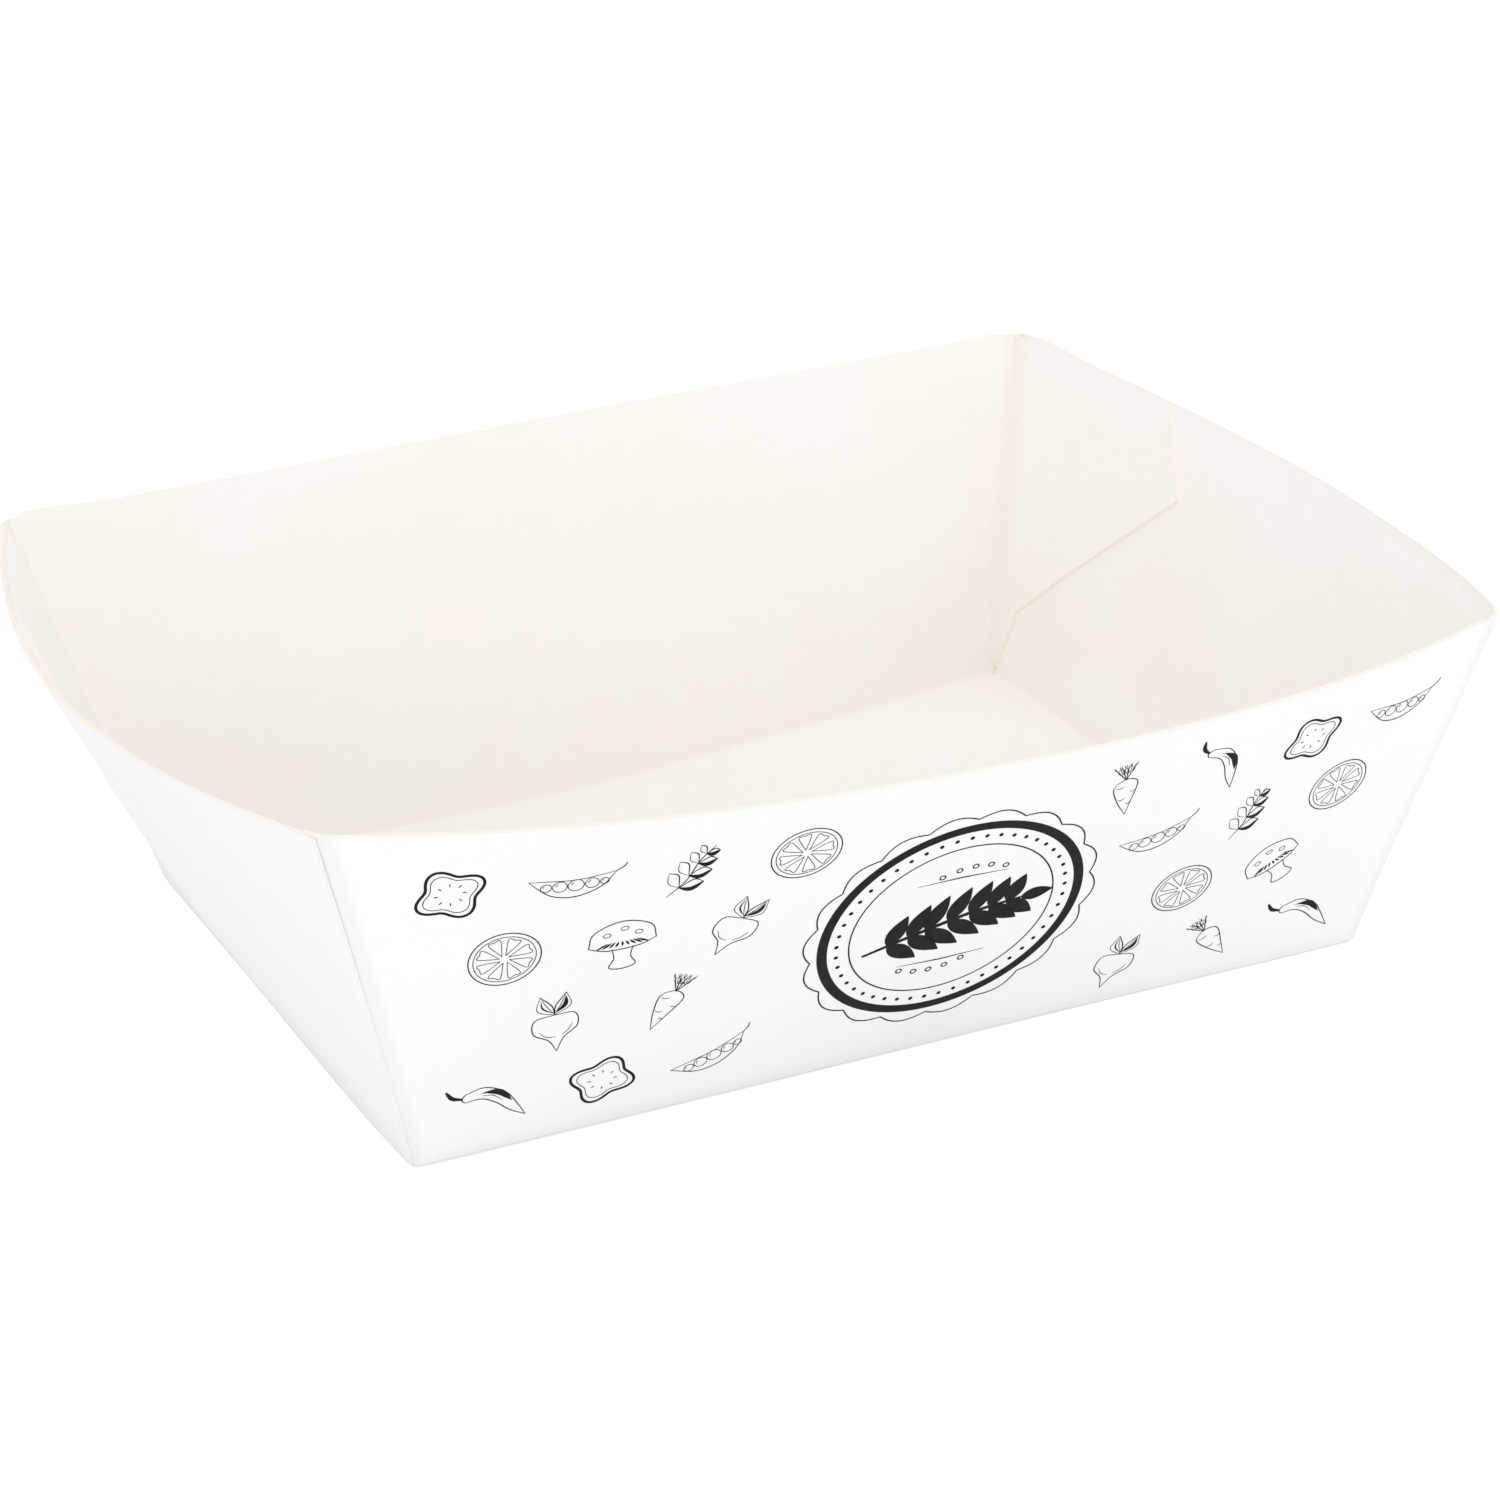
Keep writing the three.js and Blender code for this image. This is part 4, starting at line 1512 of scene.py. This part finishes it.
@dataclass
class FinishShop:
    """Builds the materials and the shader group that they share."""

    default_scale: float = 800.0
    default_amount: float = 0.1
    blotch_scale: float = 34.0
    stretch: Triple = (0.45, 1.0, 1.0)
    fine_detail: float = 5.0
    fine_roughness: float = 0.62
    fine_distortion: float = 0.9
    slow_detail: float = 3.0
    slow_roughness: float = 0.5
    fleck_range: Pair = (0.35, 0.65)
    blotch_range: Pair = (0.36, 0.68)
    fleck_colour: Triple = (0.82, 0.79, 0.75)
    roughness_spread: float = 0.04
    bump_distance: float = 0.05

    def __post_init__(self) -> None:
        """Build the shared group once."""
        self.fibres = self.fibre_group()

    def fibre_group(self) -> bpy.types.NodeTree:
        """Make the group that gives paper its fibres and slow blotches.

        Returns:
            The group's tree.
        """
        group = bpy.data.node_groups.new("paper_fibres", "ShaderNodeTree")
        scales = {"Scale": self.default_scale, "Amount": self.default_amount}
        scales["Blotch Scale"] = self.blotch_scale
        add_sockets(group, "INPUT", "NodeSocketFloat", scales)
        add_sockets(group, "OUTPUT", "NodeSocketFloat", {"Height": None, "Fleck": None, "Blotch": None})
        kit = NodeKit(group)
        source = kit.add("NodeGroupInput").outputs
        place = kit.add("ShaderNodeTexCoord").outputs["Object"]
        stretched = kit.add("ShaderNodeMapping", {"Vector": place, "Scale": self.stretch}).outputs["Vector"]
        texture = {
            "Vector": stretched,
            "Scale": source["Scale"],
            "Detail": self.fine_detail,
            "Roughness": self.fine_roughness,
            "Distortion": self.fine_distortion,
        }
        fine = kit.add("ShaderNodeTexNoise", texture).outputs["Fac"]
        texture = {
            "Vector": place,
            "Scale": source["Blotch Scale"],
            "Detail": self.slow_detail,
            "Roughness": self.slow_roughness,
        }
        slow = kit.add("ShaderNodeTexNoise", texture).outputs["Fac"]
        fleck = kit.maths("MULTIPLY", kit.ranged(fine, self.fleck_range), source["Amount"])
        blotch = kit.ranged(slow, self.blotch_range)
        kit.add("NodeGroupOutput", {"Height": fine, "Fleck": fleck, "Blotch": blotch})
        return group

    def paper(self, kit: NodeKit, finish: BoardFinish | InkFinish) -> bpy.types.NodeOutputs:
        """Return the outputs of the shared group, set for a finish."""
        scales = {"Scale": finish.fibre_scale, "Amount": finish.fibre_amount}
        return kit.add("ShaderNodeGroup", scales, node_tree=self.fibres).outputs

    def board(self, finish: BoardFinish) -> bpy.types.Material:
        """Make the material of one board surface.

        Args:
            finish: How the surface looks.

        Returns:
            The material.
        """
        material, kit, surface = new_material(finish.name)
        paper = self.paper(kit, finish)
        crease = kit.add("ShaderNodeAttribute", attribute_name="crease").outputs["Fac"]
        colours = (finish.colour, finish.blotch, finish.shade_colour, self.fleck_colour)
        plain, blotched, shade_colour, flecked = ((*colour, 1.0) for colour in colours)
        tone = kit.mixed(kit.maths("MULTIPLY", paper["Blotch"], finish.blotch_amount), plain, blotched)
        # Painted shade: the crease attribute mixes in the darker shade colour.
        tone = kit.mixed(kit.maths("MULTIPLY", crease, finish.shade_amount), tone, shade_colour)
        spread = (finish.roughness - self.roughness_spread, finish.roughness + self.roughness_spread)
        relief = {"Strength": finish.bump, "Distance": self.bump_distance * MM, "Height": paper["Height"]}
        kit.fill(surface, {
            "Specular IOR Level": finish.specular,
            "Base Color": kit.mixed(paper["Fleck"], tone, flecked, "MULTIPLY"),
            "Roughness": kit.ranged(paper["Blotch"], end=spread),
            "Normal": kit.add("ShaderNodeBump", relief).outputs["Normal"],
        })
        return material

    def ink(self, finish: InkFinish) -> bpy.types.Material:
        """Make the black printing ink, a little broken by the board's fibres.

        Args:
            finish: How the ink looks.

        Returns:
            The material.
        """
        material, kit, surface = new_material(finish.name)
        paper = self.paper(kit, finish)
        kit.fill(surface, {
            "Specular IOR Level": finish.specular,
            "Base Color": kit.mixed(paper["Fleck"], (*finish.full, 1.0), (*finish.broken, 1.0)),
            "Roughness": kit.ranged(paper["Blotch"], end=finish.roughness),
        })
        return material


# Studio


@dataclass(frozen=True)
class Lamp:
    """A square soft lamp, with its place and side in metres and its power in watts."""

    name: str
    place: Triple
    side: float
    power: float

    def build(self, target: Triple) -> None:
        """Add the lamp, turned to the target.

        Args:
            target: The place that it looks at.
        """
        data = bpy.data.lights.new(self.name, "AREA")
        data.size = self.side
        data.energy = self.power
        lamp = add_to_scene(self.name, data)
        lamp.location = self.place
        lamp.rotation_euler = (Vector(target) - Vector(self.place)).to_track_quat("-Z", "Y").to_euler()


@dataclass
class Studio:
    """The plain studio: floor, light and the camera at the photograph's angle."""

    camera_place: Triple = (-0.17141, -0.37029, 0.19021)
    azimuth: float = -25.251
    elevation: float = 22.562
    roll: float = -1.568
    focal_pixels: float = 3711.1
    frame_pixels: float = 1500.0
    sensor: float = 36.0
    clip_start: float = 0.01
    floor_half: float = 3.0
    floor_gap: float = 0.00005
    floor_colour: Triple = (0.97, 0.97, 0.97)
    floor_roughness: float = 0.9
    floor_glow: float = 0.60
    world_light: float = 0.88
    lamp_target: Triple = (0.0, 0.0, 0.02)
    lamps: tuple[Lamp, ...] = (
        Lamp(name="front_softbox", place=(0.30, -1.15, 0.24), side=0.8, power=2.9),
        Lamp(name="left_softbox", place=(-1.15, -0.25, 0.50), side=0.8, power=1.5),
        Lamp(name="top_softbox", place=(0.1, 0.0, 1.5), side=1.1, power=2.5),
    )

    def add_camera(self) -> None:
        """Place the camera and make it the scene's own."""
        azimuth, elevation, roll = (math.radians(v) for v in (self.azimuth, self.elevation, self.roll))
        level = math.cos(elevation)
        back = Vector((math.sin(azimuth) * level, -math.cos(azimuth) * level, math.sin(elevation)))
        right = Vector((0, 0, 1)).cross(back).normalized()
        up = back.cross(right)
        cosine, sine = turned(1.0, roll)
        turned_right = cosine * right + sine * up
        turned_up = cosine * up - sine * right
        data = bpy.data.cameras.new("view")
        data.sensor_width = self.sensor
        data.lens = self.focal_pixels / self.frame_pixels * self.sensor
        data.clip_start = self.clip_start
        camera = add_to_scene("view", data)
        turn = Matrix((turned_right, turned_up, back)).transposed().to_4x4()
        camera.matrix_world = Matrix.Translation(self.camera_place) @ turn
        bpy.context.scene.camera = camera

    def add_floor(self) -> None:
        """Add the pale floor, white to the camera and grey where the tray shades it."""
        mesh = bpy.data.meshes.new("floor")
        half, low = self.floor_half, -self.floor_gap
        corners = [(-half, -half, low), (half, -half, low), (half, half, low), (-half, half, low)]
        mesh.from_pydata(corners, [], [(0, 1, 2, 3)])
        material, kit, surface = new_material("studio_floor")
        seen = kit.add("ShaderNodeLightPath").outputs["Is Camera Ray"]
        kit.fill(surface, {
            "Base Color": (*self.floor_colour, 1.0),
            "Roughness": self.floor_roughness,
            "Specular IOR Level": 0.0,
            "Emission Color": (1.0, 1.0, 1.0, 1.0),
            "Emission Strength": kit.maths("MULTIPLY", seen, self.floor_glow),
        })
        mesh.materials.append(material)
        add_to_scene("floor", mesh)

    def add_world(self) -> None:
        """Light the room evenly, and show the camera a white backdrop."""
        world = bpy.data.worlds.new("studio")
        bpy.context.scene.world = world
        world.use_nodes = True
        kit = NodeKit(world.node_tree)
        rays = kit.add("ShaderNodeLightPath").outputs
        seen = kit.maths("MAXIMUM", rays["Is Camera Ray"], rays["Is Glossy Ray"])
        seen = kit.maths("MAXIMUM", seen, rays["Is Transmission Ray"])
        level = kit.ranged(seen, end=(self.world_light, 1.0))
        background = world.node_tree.nodes["Background"]
        kit.fill(background, {"Color": (1.0, 1.0, 1.0, 1.0), "Strength": level})

    def build(self) -> None:
        """Set up the whole studio."""
        self.add_camera()
        self.add_floor()
        self.add_world()
        for lamp in self.lamps:
            lamp.build(self.lamp_target)
        bpy.context.scene.view_settings.view_transform = "Standard"


def dress(piece: bpy.types.Object, label: str) -> None:
    """Let a piece ride on the tray and report it.

    Args:
        piece: The piece's object.
        label: What the log calls it.
    """
    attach(piece, "root")
    log.info("%s: %d faces", label, len(piece.data.polygons))


def main() -> None:
    """Build the tray, its print and the studio."""
    shop = FinishShop()
    shape = TrayShape()
    boards = [shop.board(finish) for finish in (OUTSIDE, INSIDE, CUT_EDGE)]
    sheet = FoldedBoard(shape).build(boards)
    dress(sheet, "folded sheet")
    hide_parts("tray")
    ink = shop.ink(InkFinish())
    pen = InkPen(shape)
    design = FrontPrint(shape)
    design.draw_medallion(pen)
    design.draw_motifs(pen)
    dress(pen.build("print_lines", ink), "printed lines")
    dress(design.bead_row(pen, ink), "printed beads")
    Studio().build()


if __name__ == "__main__":
    main()
